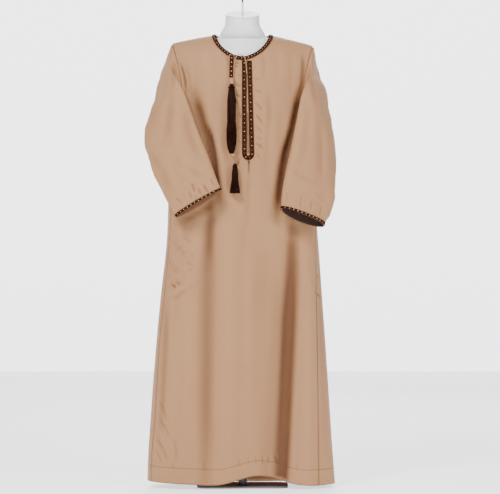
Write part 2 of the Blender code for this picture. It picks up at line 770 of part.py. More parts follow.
def bind(collection, name, top, foot, radius, x, finish, parent):
    edge = min(0.0015, (top - foot) / 4)
    profile = (
        (0.0, top), (radius - edge, top), (radius, top - edge),
        (radius, foot + edge), (radius - edge, foot), (0.0, foot),
    )
    turned(collection, name, profile, x, read_table(HANG_LINE, top, 1), 12, finish, parent)


def tassel(collection, name, x, top, foot, head, outline, finish, parent):
    """A head whose underside is a grid of small faces, each drawn down as a four-sided strand.

    The outline gives, for each share of the way down, the radius of the whole tassel and
    the thickness of a strand as a share of its first one.
    """
    made = bmesh.new()
    count = TASSEL_STRANDS_ACROSS
    bmesh.ops.create_grid(made, x_segments=count, y_segments=count, size=1.0)
    for vertex in made.verts:
        flat = max(abs(vertex.co.x), abs(vertex.co.y))
        length = max(vertex.co.length, 0.000001)
        vertex.co *= head * flat / length
        vertex.co.z = top - head
    under = list(made.faces)
    rim = [edge for edge in made.edges if edge.is_boundary]
    sides = bmesh.ops.extrude_edge_only(made, edges=rim)["geom"]
    lip = [vertex for vertex in sides if isinstance(vertex, bmesh.types.BMVert)]
    for vertex in lip:
        vertex.co.z = top - head * 0.25
    loop = [edge for edge in made.edges if edge.is_boundary]
    sides = bmesh.ops.extrude_edge_only(made, edges=loop)["geom"]
    crown = [vertex for vertex in sides if isinstance(vertex, bmesh.types.BMVert)]
    for vertex in crown:
        vertex.co.x *= 0.7
        vertex.co.y *= 0.7
        vertex.co.z = top
    bmesh.ops.holes_fill(made, edges=[edge for edge in made.edges if edge.is_boundary])
    bmesh.ops.recalc_face_normals(made, faces=made.faces)
    bmesh.ops.inset_individual(made, faces=under, thickness=head * 0.055)
    strands = under
    start_z = top - head
    previous = (head, 1.0)
    for share, radius, thickness in outline:
        moved = bmesh.ops.extrude_discrete_faces(made, faces=strands)["faces"]
        scale = radius / previous[0]
        thin = thickness / previous[1]
        for face in moved:
            middle = face.calc_center_median()
            goal = Vector((middle.x * scale, middle.y * scale, start_z + (foot - start_z) * share))
            for vertex in face.verts:
                offset = (vertex.co - middle) * thin
                vertex.co = goal + Vector((offset.x, offset.y, 0.0))
        strands = moved
        previous = (radius, thickness)
    bmesh.ops.delete(made, geom=[v for v in made.verts if not v.link_faces], context="VERTS")
    bmesh.ops.recalc_face_normals(made, faces=made.faces)
    for vertex in made.verts:
        vertex.co.y += read_table(HANG_LINE, vertex.co.z, 1)
    mesh = bpy.data.meshes.new(name)
    made.to_mesh(mesh)
    made.free()
    item = add_object(collection, name, mesh, finish, parent)
    item.location = (x, 0.0, 0.0)


def link_cord(collection, name, start, end, radius, finish, parent):
    curve = bpy.data.curves.new(name, "CURVE")
    curve.dimensions = "3D"
    curve.bevel_depth = radius
    curve.bevel_resolution = 1
    curve.use_fill_caps = True
    line = curve.splines.new("POLY")
    line.points.add(1)
    line.points[0].co = (*start, 1.0)
    line.points[1].co = (*end, 1.0)
    item = bpy.data.objects.new(name, curve)
    item.data.materials.append(finish)
    item.parent = parent
    collection.objects.link(item)


def hanging_tassels(collection, cloth, trim, silk, parent):
    ribbon(collection, "strap", straight_path(*STRAP[:4], 7), STRAP[4], STRAP_GAP, cloth, parent)
    path = straight_path(*STRAP_TRIM[:4], 7)
    ribbon(collection, "strap_trim", path, STRAP_TRIM[4], STRAP_TRIM_GAP, trim, parent)
    bind(collection, "tassel_bind_upper", BIND_TOP, BIND_FOOT, 0.0083, TASSEL_X, cloth, parent)
    spindle = (
        (0.18, 0.0125, 0.95), (0.40, 0.0158, 1.1), (0.65, 0.0175, 1.2),
        (0.86, 0.0150, 1.0), (1.0, 0.0090, 0.8),
    )
    tassel(
        collection, "tassel_upper", TASSEL_X, UPPER_TASSEL_TOP, UPPER_TASSEL_FOOT,
        0.0095, spindle, silk, parent,
    )
    bind(
        collection, "tassel_bind_lower", LOWER_BIND_TOP, LOWER_BIND_FOOT,
        0.0078, LOWER_BIND_X, cloth, parent,
    )
    for name, spread in (("link_cord_right", -0.0045), ("link_cord_left", 0.0045)):
        level = read_table(HANG_LINE, LOWER_BIND_TOP, 1)
        start = (LOWER_BIND_X + spread, level, LOWER_BIND_FOOT - CORD_GAP)
        end = (LOWER_TASSEL_X + spread * 0.35, level, LOWER_TASSEL_TOP + CORD_GAP)
        link_cord(collection, name, start, end, 0.0012, cloth, parent)
    flare = ((0.20, 0.0095, 1.0), (0.60, 0.0135, 1.15), (1.0, 0.0175, 1.2))
    tassel(
        collection, "tassel_lower", LOWER_TASSEL_X, LOWER_TASSEL_TOP, LOWER_TASSEL_FOOT,
        0.0072, flare, silk, parent,
    )


def pockets(collection, finish, parent):
    """Pocket bags from the front panel's own points, moved in behind its wall."""
    rows = front_rows()
    for name, columns in (("right", slice(0, POCKET_COLUMNS + 1)), ("left", slice(-POCKET_COLUMNS - 1, None))):
        chosen = [row[columns] for row in rows if POCKET_FOOT < row[0].z < POCKET_TOP]
        mesh = sheet_mesh("pocket_" + name, chosen)
        push_out(mesh, -(WALL + POCKET_GAP))
        give_wall(add_object(collection, "pocket_" + name, mesh, finish, parent), WALL, -1.0)


def form_ring(z, width, front, back, squareness):
    points = []
    for step in range(FORM_SIDES):
        angle = 2 * math.pi * step / FORM_SIDES
        cosine, sine = math.cos(angle), math.sin(angle)
        x = math.copysign(abs(cosine) ** (2 / squareness), cosine) * width
        reach = back if sine > 0 else front
        y = math.copysign(abs(sine) ** (2 / squareness), sine) * reach
        points.append(Vector((x, y, z)))
    return points


def close_ends(mesh):
    made = bmesh.new()
    made.from_mesh(mesh)
    bmesh.ops.holes_fill(made, edges=[edge for edge in made.edges if edge.is_boundary])
    bmesh.ops.recalc_face_normals(made, faces=made.faces)
    made.to_mesh(mesh)
    made.free()


def dress_form(collection, finish, metal, parent):
    rows = [form_ring(*row) for row in FORM]
    top = form_ring(NECK_TOP, NECK_RADIUS, NECK_RADIUS, NECK_RADIUS, 2.0)
    for point in top:
        point.z += point.y * math.tan(CAP_TILT)
    mesh = sheet_mesh("form_torso", rows + [top], closed=True)
    close_ends(mesh)
    add_object(collection, "form_torso", mesh, finish, parent)

    bpy.ops.mesh.primitive_cylinder_add(vertices=36, radius=CAP_RADIUS, depth=CAP_THICKNESS)
    cap = bpy.context.object
    rise = (CAP_THICKNESS / 2 + 0.0003) / math.cos(CAP_TILT)
    cap.rotation_euler = (CAP_TILT, 0.0, 0.0)
    cap.location = (0.0, 0.0, NECK_TOP + rise)
    finish_primitive(collection, cap, "form_cap", finish, parent)
    edge = cap.modifiers.new("Edge", "BEVEL")
    edge.width = 0.001
    edge.segments = 2

    turned(collection, "form_finial", FINIAL, 0.0, 0.0, 16, finish, parent)

    pole_foot = BASE_SIZE[2] + 0.0003
    pole_top = FORM[0][0] - 0.0003
    bpy.ops.mesh.primitive_cylinder_add(vertices=24, radius=POLE_RADIUS, depth=pole_top - pole_foot)
    pole = bpy.context.object
    pole.location = (0.0, 0.0, (pole_top + pole_foot) / 2)
    finish_primitive(collection, pole, "form_pole", metal, parent)

    bpy.ops.mesh.primitive_cube_add(size=1.0)
    base = bpy.context.object
    for vertex in base.data.vertices:
        vertex.co = Vector(a * b for a, b in zip(vertex.co, BASE_SIZE))
    base.location = (0.0, 0.0, BASE_SIZE[2] / 2)
    finish_primitive(collection, base, "form_base", metal, parent)
    round_upright_edges(base.data)


def round_upright_edges(mesh):
    made = bmesh.new()
    made.from_mesh(mesh)
    upright = [edge for edge in made.edges if abs(edge.verts[0].co.z - edge.verts[1].co.z) > MERGE]
    bmesh.ops.bevel(
        made, geom=upright, offset=BASE_CORNER, offset_type="OFFSET", segments=6,
        profile=0.5, affect="EDGES", material=-1,
    )
    made.to_mesh(mesh)
    made.free()


def finish_primitive(collection, item, name, finish, parent):
    item.name = name
    item.data.name = name
    item.data.materials.append(finish)
    for owner in list(item.users_collection):
        owner.objects.unlink(item)
    collection.objects.link(item)
    item.parent = parent
    item.data.shade_smooth()
    item.data.set_sharp_from_angle(angle=math.radians(40.0))


def build():
    clear_scene()
    collection = new_collection("thobe_on_form")
    parent = bpy.data.objects.new("thobe_frame", None)
    collection.objects.link(parent)
    cloth = material("sanded_beige_cloth", CLOTH_COLOUR, 0.62)
    trim = material("woven_brown_trim", TRIM_COLOUR, 0.6)
    silk = material("dark_tassel_silk", TASSEL_COLOUR, 0.45)
    form = material("white_form", FORM_COLOUR, 0.35)
    metal = material("painted_steel", METAL_COLOUR, 0.35, 0.3)
    body_panels(collection, cloth, parent)
    sleeves(collection, cloth, trim, parent)
    neck_trim(collection, trim, parent)
    placket(collection, trim, cloth, parent)
    hanging_tassels(collection, cloth, trim, silk, parent)
    pockets(collection, cloth, parent)
    dress_form(collection, form, metal, parent)


build()
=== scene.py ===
# %% [markdown]
# # A thobe robe on a dress form
# This lesson dresses a plain CAD model of a long beige robe. The CAD parts give each piece its
# true cut and place. Here the cloth gets its soft folds, its pressed seams and stitching, the
# trims get their woven pattern and the tassels their threads.

import math

import bmesh
import bpy
import numpy as np
from mathutils import Matrix, Vector
from mathutils.kdtree import KDTree


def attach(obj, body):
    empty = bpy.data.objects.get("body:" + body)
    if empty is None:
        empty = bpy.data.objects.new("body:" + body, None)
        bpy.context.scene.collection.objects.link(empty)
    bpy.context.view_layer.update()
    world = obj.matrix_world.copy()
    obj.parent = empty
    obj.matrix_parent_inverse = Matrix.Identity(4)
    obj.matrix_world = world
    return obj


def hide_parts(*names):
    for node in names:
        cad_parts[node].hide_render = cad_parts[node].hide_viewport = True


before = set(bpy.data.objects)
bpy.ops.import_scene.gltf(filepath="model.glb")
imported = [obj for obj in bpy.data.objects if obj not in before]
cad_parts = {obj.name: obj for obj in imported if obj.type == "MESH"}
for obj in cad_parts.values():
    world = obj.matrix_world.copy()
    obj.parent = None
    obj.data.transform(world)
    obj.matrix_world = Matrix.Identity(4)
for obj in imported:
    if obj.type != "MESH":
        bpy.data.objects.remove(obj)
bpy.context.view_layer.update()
print("pieces in the CAD model:", len(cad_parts))

# %% [markdown]
# The camera looks level along +Y, from far away, because the photo shows hardly any
# perspective. Its height is the middle of the robe.

# %% Place the camera
CAMERA_PLACE = (0.02475, -6.5, 0.789)
LENS_MM = 141.8

camera_data = bpy.data.cameras.new("front_camera")
camera_data.lens = LENS_MM
camera_data.sensor_width = 36.0
camera = bpy.data.objects.new("front_camera", camera_data)
camera.location = CAMERA_PLACE
camera.rotation_euler = (math.radians(90), 0, 0)
bpy.context.scene.collection.objects.link(camera)
bpy.context.scene.camera = camera
print("camera", tuple(round(value, 3) for value in camera.location))

# %% [markdown]
# A material is a sum of many small patterns. Written as node links, such a sum is hard to
# read. So a small class holds a socket and lets Python's own operators add the Math nodes.


# %% Write shader sums as Python sums
class Level:
    """A number, vector or colour on its way through a material."""

    def __init__(self, finish, socket):
        self.finish = finish
        self.socket = socket

    def sum(self, operation, first, second=0.0):
        return self.finish.add("ShaderNodeMath", {"operation": operation}, {0: first, 1: second})

    def __add__(self, other):
        return self.sum("ADD", self, other)

    def __radd__(self, other):
        return self.sum("ADD", other, self)

    def __sub__(self, other):
        return self.sum("SUBTRACT", self, other)

    def __rsub__(self, other):
        return self.sum("SUBTRACT", other, self)

    def __mul__(self, other):
        return self.sum("MULTIPLY", self, other)

    def __rmul__(self, other):
        return self.sum("MULTIPLY", other, self)

    def __truediv__(self, other):
        return self.sum("DIVIDE", self, other)

    def __abs__(self):
        return self.sum("ABSOLUTE", self)

    def sine(self):
        return self.sum("SINE", self)

    def floor(self):
        return self.sum("FLOOR", self)

    def wrapped(self):
        """The part past the last whole number."""
        return self.sum("FRACT", self)

    def smallest(self, other):
        return self.sum("MINIMUM", self, other)

    def largest(self, other):
        return self.sum("MAXIMUM", self, other)

    def under(self, limit, blur):
        """One well below the limit, nought well above it, and smooth between."""
        return self.finish.add(
            "ShaderNodeMapRange", {"interpolation_type": "SMOOTHSTEP"},
            {0: self, 1: limit - blur, 2: limit + blur, 3: 1.0, 4: 0.0},
        )


print("sums ready")

# %% [markdown]
# Every other node is added by one method. It takes the node's type, its settings and the
# values or links of its sockets, so a pattern reads as a few plain lines.


# %% Gather a material's nodes in one class
class Finish:
    """A material with one Principled shader, and the nodes that feed it."""

    def __init__(self, name, roughness, **constants):
        self.material = bpy.data.materials.new(name)
        self.material.use_nodes = True
        self.tree = self.material.node_tree
        self.shader = self.tree.nodes["Principled BSDF"]
        self.shader.inputs["Roughness"].default_value = roughness
        for socket, value in constants.items():
            self.shader.inputs[socket.replace("_", " ")].default_value = value

    def add(self, kind, settings, inputs, output=0):
        """Adds a node: its type, its settings, then the values or links of its sockets."""
        node = self.tree.nodes.new(kind)
        for name, value in settings.items():
            setattr(node, name, value)
        for name, value in inputs.items():
            if isinstance(value, Level):
                self.tree.links.new(value.socket, node.inputs[name])
            else:
                node.inputs[name].default_value = value
        return Level(self, node.outputs[output])

    def place(self):
        return self.add("ShaderNodeTexCoord", {}, {}, "Object")

    def parts_of(self, vector):
        split = self.tree.nodes.new("ShaderNodeSeparateXYZ")
        self.tree.links.new(vector.socket, split.inputs[0])
        return [Level(self, output) for output in split.outputs]

    def painted(self, name):
        """An attribute of the piece, kept in its points."""
        return self.add("ShaderNodeAttribute", {"attribute_name": name}, {}, "Fac")

    def facing_out(self):
        """Above nought on the outer side of a wall, below it on the inner side."""
        out = self.add("ShaderNodeAttribute", {"attribute_name": "out"}, {}, "Vector")
        normal = self.add("ShaderNodeNewGeometry", {}, {}, "True Normal")
        dot = {"operation": "DOT_PRODUCT"}
        return self.add("ShaderNodeVectorMath", dot, {0: out, 1: normal}, "Value")

    def noise(self, scale, detail=2.0, squash=(1.0, 1.0, 1.0)):
        moved = self.add("ShaderNodeMapping", {}, {0: self.place(), "Scale": squash})
        return self.add("ShaderNodeTexNoise", {}, {"Vector": moved, "Scale": scale, "Detail": detail})

    def mixed(self, share, first, second):
        return self.add("ShaderNodeMix", {"data_type": "RGBA"}, {0: share, 6: first, 7: second}, 2)

    def feed(self, **levels):
        for name, level in levels.items():
            self.tree.links.new(level.socket, self.shader.inputs[name.replace("_", " ")])

    def raise_by(self, height, metres):
        """Bumps the surface by a height from 0 to 1."""
        bump = self.add("ShaderNodeBump", {}, {"Height": height, "Distance": metres, "Strength": 1.0})
        self.feed(Normal=bump)


def toned(colour, red, green, blue):
    """The same colour, lighter or darker by a factor for each channel."""
    return colour[0] * red, colour[1] * green, colour[2] * blue, 1.0


print("shader tools ready")

# %% [markdown]
# The robe is cut from a smooth, sanded twill. Seen close, it has a fine slanted weave and
# slightly uneven yarns. Seen from afar, it is an even warm beige, with painted highlight on
# the ridges and painted shade in the folds. The hem and the seams carry a row of stitches. All
# of these are painted from attributes that each piece measures for itself further down. The
# sleeves show their shaded inside at the cuffs, so the inner side of their rim near the cuff
# gets painted shade.


# %% Mix the beige cloth
HEM_STITCH_HEIGHT = 0.052
TWILL_LINES = 5200.0


def cloth_finish(name, tint, stitched, inside_shade=None):
    made = Finish(name, 0.6, Sheen_Weight=0.08, Sheen_Roughness=0.5, Specular_IOR_Level=0.25)
    x, y, z = made.parts_of(made.place())
    slant = ((x + y) * TWILL_LINES + z * TWILL_LINES).sine() * 0.5 + 0.5
    yarn = made.noise(420.0, 2.0, (1.0, 1.0, 0.12))
    patches = made.noise(7.0, 3.0)
    deep = toned(tint, 0.80, 0.80, 0.80)
    light = toned(tint, 1.07, 1.07, 1.07)
    # Painted shade for the fold troughs, also used for the stitch and seam lines, and a painted
    # highlight for the ridges.
    shade = toned(tint, 0.30, 0.22, 0.16)
    ridge = toned(tint, 1.12, 1.13, 1.15)
    colour = made.mixed(patches * 0.5 + yarn * 0.25 + slant * 0.12, deep, light)
    height = slant * 0.35 + yarn * 0.4
    fold = made.painted("fold")
    # Painted shade in the crease troughs and painted highlight on the ridges, from the crease
    # steepness.
    colour = made.mixed((fold * -1.0).largest(0.0) * 0.95, colour, shade)
    colour = made.mixed(fold.largest(0.0) * 0.5, colour, ridge)
    if inside_shade:
        # Painted shade on the inner side of the sleeve near its rim, for the shaded inside seen at the
        # cuff.
        inside = made.facing_out().under(-0.5, 0.3)
        colour = made.mixed(inside * made.painted("edge").under(0.045, 0.020), colour, inside_shade)
    if stitched:
        hem = made.painted("hem")
        line = abs(hem - HEM_STITCH_HEIGHT).under(0.0011, 0.0007)
        dash = (abs((x + y * 0.6) * 340.0).wrapped() - 0.12).under(0.62, 0.12)
        seam = abs(made.painted("edge") - 0.0012).under(0.0012, 0.0010)
        colour = made.mixed(line * 0.42 + line * dash * 0.25, colour, shade)
        colour = made.mixed(seam * 0.45, colour, shade)
        turned_up = hem.under(HEM_STITCH_HEIGHT - 0.0005, 0.0006)
        height = height + turned_up * 1.6 - line * 1.8 - seam * 2.2 + line * dash * 1.1
    made.feed(Base_Color=colour, Roughness=0.52 + patches * 0.14)
    made.raise_by(height, 0.00022)
    return made.material


BEIGE = (0.395, 0.202, 0.093, 1.0)
robe_cloth = cloth_finish("sanded_beige_twill", BEIGE, True)
small_cloth = cloth_finish("beige_twill_small_parts", BEIGE, False)
tack_thread = cloth_finish("bar_tack_thread", (0.11, 0.040, 0.014, 1.0), False)
# The sleeves' inside colours are painted shade: near black on the left sleeve, dark brown on the right.
sleeve_cloths = {
    "right": cloth_finish("beige_twill_right_sleeve", BEIGE, False, (0.20, 0.085, 0.036, 1.0)),
    "left": cloth_finish("beige_twill_left_sleeve", BEIGE, False, (0.034, 0.011, 0.0045, 1.0)),
}
print("cloth materials:", robe_cloth.name, small_cloth.name, len(sleeve_cloths), "for the sleeves")

# %% [markdown]
# The trims are narrow bands woven in dark brown and rust, with a row of small cream
# lozenges down the middle, a fainter motif between them and a fine line near each edge.
# Each band measures itself along and across, so the pattern bends with it.


# %% Weave the patterned trim
def trim_finish(name, repeat, faint_every_other, size):
    made = Finish(name, 0.75, Specular_IOR_Level=0.06)
    along = made.painted("along")
    side = abs(made.painted("across"))
    cell = along / repeat
    step = abs(cell.wrapped() - 0.5) * repeat
    lozenge = (step + side).under(size, size * 0.22)
    outline = abs(step + side - size * 2.1).under(size * 0.32, size * 0.2)
    between = repeat * 0.5 - step
    small = (between + side).under(size * 0.75, size * 0.25)
    if faint_every_other:
        odd = ((cell.floor() * 0.5).wrapped() - 0.25).under(0.0, 0.05)
        bright = lozenge * (0.22 + 0.78 * odd)
    else:
        bright = lozenge
    wave = abs((along / (repeat * 0.5)).wrapped() - 0.5) * 0.0016
    zigzag = abs(side - 0.0036 - wave).under(0.00035, 0.0003)
    border = abs(side - 0.0054).under(0.0004, 0.0003)
    threads = ((along * 7800.0).sine() * 0.5 + 0.5) * 0.5 + ((side * 6400.0).sine() * 0.5 + 0.5) * 0.5
    dark = made.mixed(threads, (0.0045, 0.0007, 0.0001, 1.0), (0.019, 0.0038, 0.0008, 1.0))
    colour = made.mixed((outline * 0.45 + zigzag * 0.5).smallest(1.0), dark, (0.12, 0.027, 0.007, 1.0))
    colour = made.mixed(small * 0.55, colour, (0.20, 0.065, 0.022, 1.0))
    colour = made.mixed(border * 0.4, colour, (0.20, 0.085, 0.040, 1.0))
    colour = made.mixed(bright, colour, (0.78, 0.54, 0.33, 1.0))
    made.feed(Base_Color=colour)
    made.raise_by(threads * 0.4 + bright * 1.2 + outline * 0.5 + small * 0.5 + border * 0.4, 0.00025)
    return made.material


neck_weave = trim_finish("neck_trim_weave", 0.0111, False, 0.0015)
cuff_weave = trim_finish("cuff_trim_weave", 0.0146, False, 0.0017)
placket_weave = trim_finish("placket_trim_weave", 0.0140, True, 0.0016)
print("trim materials:", neck_weave.name, cuff_weave.name, placket_weave.name)

# %% [markdown]
# A plain strip shows in the slit, between the two sides of the placket's trim. It is rust
# brown down its middle and beige at its edges.


# %% Weave the strip in the slit
def strip_finish(name):
    made = Finish(name, 0.7, Specular_IOR_Level=0.2)
    side = abs(made.painted("across"))
    threads = (made.painted("along") * 5200.0).sine() * 0.5 + 0.5
    colour = made.mixed(threads * 0.6, (0.085, 0.026, 0.010, 1.0), (0.16, 0.055, 0.022, 1.0))
    colour = made.mixed(side.under(0.0015, 0.0002), (0.46, 0.25, 0.13, 1.0), colour)
    made.feed(Base_Color=colour)
    made.raise_by(threads, 0.0002)
    return made.material


strip_cloth = strip_finish("under_placket_strip_weave")
print("strip material:", strip_cloth.name)

# %% [markdown]
# The tassels are silk thread, nearly black, with long soft highlights. The form is moulded
# and painted white, so it is smooth with a low gloss; its cap is a little whiter, as painted
# light on its top. Its steel stand is painted near black, as painted shade: the pole and plate
# read as the shadow under the hem.


# %% Mix the silk, the form's paint and the stand's paint
def silk_finish(name, base, light):
    made = Finish(name, 0.55, Specular_IOR_Level=0.08, Anisotropic=0.4)
    hair = made.noise(900.0, 2.0, (1.0, 1.0, 0.03))
    bands = made.noise(60.0, 2.0, (1.0, 1.0, 0.2))
    colour = made.mixed(hair * 0.6 + bands * 0.4, base, light)
    made.feed(Base_Color=colour, Roughness=0.42 + hair * 0.25)
    made.raise_by(hair, 0.0002)
    return made.material


def paint_finish(name, colour, gloss, dark_from=None):
    made = Finish(name, gloss, Coat_Weight=0.15, Coat_Roughness=0.25)
    peel = made.noise(260.0)
    clouds = made.noise(9.0)
    base = made.mixed(clouds, toned(colour, 0.96, 0.96, 0.96), colour)
    if dark_from:
        height = made.parts_of(made.place())[2]
        base = made.mixed(height.under(dark_from, 0.002), (0.02, 0.02, 0.02, 1.0), base)
    made.feed(Base_Color=base, Roughness=gloss - 0.05 + clouds * 0.1)
    made.raise_by(peel, 0.00004)
    return made.material


tassel_silk = silk_finish(
    "dark_tassel_silk", (0.0045, 0.0006, 0.0002, 1.0), (0.026, 0.0048, 0.0013, 1.0),
)
cord_silk = silk_finish("beige_cord_silk", (0.27, 0.14, 0.065, 1.0), (0.46, 0.28, 0.15, 1.0))
form_paint = paint_finish("white_form_paint", (0.83, 0.84, 0.86, 1.0), 0.38)
# The cap is a little whiter than the torso: painted light, for the light that falls on its top.
cap_paint_with_top_light = paint_finish("white_cap_paint_with_top_light", (0.90, 0.90, 0.91, 1.0), 0.3)
ROD_TIP_FROM = 1.596
rod_paint = paint_finish("white_rod_with_dark_tip", (0.80, 0.80, 0.81, 1.0), 0.3, ROD_TIP_FROM)
# Near-black paint for the pole and base plate: painted shade, so they read as the shadow under the hem.
stand_paint_as_hem_shadow = paint_finish("painted_steel", (0.10, 0.10, 0.11, 1.0), 0.4)
print("silk and paint ready")

# %% [markdown]
# A CAD part arrives as loose triangles on both walls. The looks need one clean outer sheet
# of four-sided faces. So the triangles are merged, and the narrow faces of the rim are set
# aside to part the two walls. The rows beside a seam are as narrow as the rim, so they are
# given back to their wall. Then the outer wall's triangles are joined in pairs.


# %% Take the outer sheet of a CAD part
def walls_of(made, thickness):
    """The two walls of a sheet: its largest stretches of faces once the narrow ones are out."""
    narrow = set()
    for edge in made.edges:
        if edge.calc_length() < thickness * 1.25:
            narrow.update(edge.link_faces)
    left, stretches = set(made.faces) - narrow, []
    while left:
        front = [left.pop()]
        stretch = list(front)
        while front:
            face = front.pop()
            for edge in face.edges:
                for other in edge.link_faces:
                    if other in left:
                        left.remove(other)
                        front.append(other)
                        stretch.append(other)
        stretches.append(stretch)
    stretches.sort(key=lambda faces: -sum(face.calc_area() for face in faces))
    return [with_narrow_rows(stretch, narrow) for stretch in stretches[:2]]


def with_narrow_rows(stretch, narrow, rows=6):
    """Adds the narrow faces that carry a wall on. Its rim turns away from it, so it stays out."""
    kept, front = set(stretch), list(stretch)
    for _ in range(rows):
        after = []
        for face in front:
            for edge in face.edges:
                for other in edge.link_faces:
                    carries_on = other.normal.dot(face.normal) > 0.75
                    if carries_on and other in narrow and other not in kept:
                        kept.add(other)
                        after.append(other)
        front = after
    return kept


def outwardness(faces, centre_of):
    """Above nought where the faces look away from the piece's centre."""
    total = 0.0
    for face in faces:
        middle = face.calc_center_median()
        total += face.normal.dot(middle - centre_of(middle)) * face.calc_area()
    return total


def merged(node):
    """A CAD part's mesh with its loose triangles joined at their corners."""
    made = bmesh.new()
    made.from_mesh(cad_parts[node].data)
    bmesh.ops.remove_doubles(made, verts=made.verts, dist=0.00002)
    made.normal_update()
    return made


def outer_sheet(node, centre_of, thickness):
    made = merged(node)
    first, second = walls_of(made, thickness)
    keep = first if outwardness(first, centre_of) > outwardness(second, centre_of) else second
    others = [face for face in made.faces if face not in keep]
    bmesh.ops.delete(made, geom=others, context="FACES")
    bmesh.ops.join_triangles(
        made, faces=made.faces, angle_face_threshold=0.9, angle_shape_threshold=1.2,
    )
    return made


print("sheet tools ready")

# %% [markdown]
# Subdivision rounds the sheet between the CAD rows. It is applied at once, because the
# creases that follow move single points. Around the finest creases the sheet is split once more.


# %% Smooth and refine a sheet
def object_from(made, name):
    mesh = bpy.data.meshes.new(name)
    made.to_mesh(mesh)
    made.free()
    mesh.polygons.foreach_set("use_smooth", [True] * len(mesh.polygons))
    item = bpy.data.objects.new(name, mesh)
    bpy.context.scene.collection.objects.link(item)
    return item


def apply_modifiers(item):
    bpy.context.view_layer.update()
    ready = item.evaluated_get(bpy.context.evaluated_depsgraph_get())
    mesh = bpy.data.meshes.new_from_object(ready)
    item.modifiers.clear()
    item.data = mesh
    return item


def rounded(item, levels):
    smooth = item.modifiers.new("Rounded", "SUBSURF")
    smooth.levels = levels
    smooth.render_levels = levels
    smooth.boundary_smooth = "PRESERVE_CORNERS"
    return apply_modifiers(item)


def tree_of(spots):
    tree = KDTree(len(spots))
    for index, spot in enumerate(spots):
        tree.insert(spot, index)
    tree.balance()
    return tree


def split_near(item, spots, reach):
    """Splits the front's edges that lie near the fine creases."""
    tree = tree_of(spots)
    made = bmesh.new()
    made.from_mesh(item.data)
    chosen = []
    for edge in made.edges:
        middle = (edge.verts[0].co + edge.verts[1].co) / 2
        if tree.find(Vector((middle.x, 0.0, middle.z)))[2] < reach and middle.y < 0.01:
            chosen.append(edge)
    bmesh.ops.subdivide_edges(made, edges=chosen, cuts=2, use_grid_fill=True)
    made.to_mesh(item.data)
    made.free()
    print(item.name, "edges split near its fine creases:", len(chosen))


# %% [markdown]
# Real cloth is never even. Each crease is a row of a table: three places that it runs
# through, seen from the front, how wide it is and how far it stands up or sinks. A trough has
# low banks on both sides, as pushed cloth has, and both ends fade out. A cloth simulation
# would give other folds than the real robe's, so each is placed one by one.


# %% Press creases into a sheet
BANK_SHARE = 0.30


def crease_line(row):
    start, middle, end = (np.array(row[index:index + 2]) for index in (0, 2, 4))
    steps = np.linspace(0.0, 1.0, 9)[:, None]
    bend = 2.0 * middle - (start + end) / 2.0
    return (1 - steps) ** 2 * start + 2 * (1 - steps) * steps * bend + steps ** 2 * end


def nearest_on(points, line):
    """For each point: how far off the line it is, by which stretch, and at what share of it."""
    best = np.full(len(points), 1e9)
    stretch = np.zeros(len(points), dtype=int)
    shares = np.zeros(len(points))
    for index, (start, end) in enumerate(zip(line, line[1:])):
        run = end - start
        share = np.clip(((points - start) @ run) / max(run @ run, 1e-12), 0.0, 1.0)
        away = np.linalg.norm(points - (start + share[:, None] * run), axis=1)
        nearer = away < best
        best[nearer] = away[nearer]
        stretch[nearer] = index
        shares[nearer] = share[nearer]
    return best, stretch, shares


def crease_height(flat, row):
    """The height that one crease gives each point, seen flat from the front, and its reach."""
    line, width, height = crease_line(row), row[6], row[7]
    best, stretch, share = nearest_on(flat, line)
    at = (stretch + share) / (len(line) - 1)
    fade = np.clip(np.minimum(at, 1.0 - at) / 0.28, 0.0, 1.0)
    fade = fade * fade * (3.0 - 2.0 * fade)
    far = best / width
    shape = np.exp(-far ** 2) - BANK_SHARE * np.exp(-((far - 1.9) / 0.8) ** 2)
    rise = height * shape * (0.25 + 0.75 * fade) * (best < 4.0 * width)
    return rise, 0.004 + 0.25 * width


def point_values(mesh, name):
    values = np.zeros(len(mesh.vertices) * 3)
    mesh.vertices.foreach_get(name, values)
    return values.reshape(-1, 3)


def press(item, creases, facing, edge_keep=0.0025):
    """Moves points along their normals, on the side that faces the given way, or on both for 0."""
    mesh = item.data
    points, normals = point_values(mesh, "co"), point_values(mesh, "normal")
    height, steep, on_side = np.zeros(len(points)), np.zeros(len(points)), np.ones(len(points))
    if facing:
        on_side = np.clip(0.5 + 1.6 * normals[:, 1] * facing, 0.0, 1.0)
    for row in creases:
        rise, reach = crease_height(points[:, [0, 2]], row)
        height += rise
        steep += rise / reach
    edge = distance_to_rim(mesh)
    kept = on_side * np.clip(edge / edge_keep, 0.0, 1.0)
    points += normals * (height * kept)[:, None]
    mesh.vertices.foreach_set("co", points.ravel())
    mesh.update()
    # The crease steepness is kept for the cloth material, which paints shade into the troughs and
    # highlight onto the ridges from it.
    keep_number(mesh, "fold", np.clip(steep * kept, -1.0, 1.0))
    return edge


def keep_number(mesh, name, values):
    found = mesh.attributes.get(name) or mesh.attributes.new(name, "FLOAT", "POINT")
    found.data.foreach_set("value", np.asarray(values, dtype=np.float32))


def keep_outward(mesh):
    """Keeps the way out of the sheet, so its material can tell the outer wall from the inner."""
    found = mesh.attributes.new("out", "FLOAT_VECTOR", "POINT")
    found.data.foreach_set("vector", point_values(mesh, "normal").ravel())


def rim_of(mesh):
    made = bmesh.new()
    made.from_mesh(mesh)
    spots = [vertex.co.copy() for vertex in made.verts if vertex.is_boundary]
    made.free()
    return spots


def distance_to_rim(mesh):
    tree = tree_of(rim_of(mesh))
    return np.array([tree.find(vertex.co)[2] for vertex in mesh.vertices])


def wall(item, thickness):
    solid = item.modifiers.new("Wall", "SOLIDIFY")
    solid.thickness = thickness
    solid.offset = -1.0
    solid.use_rim = True


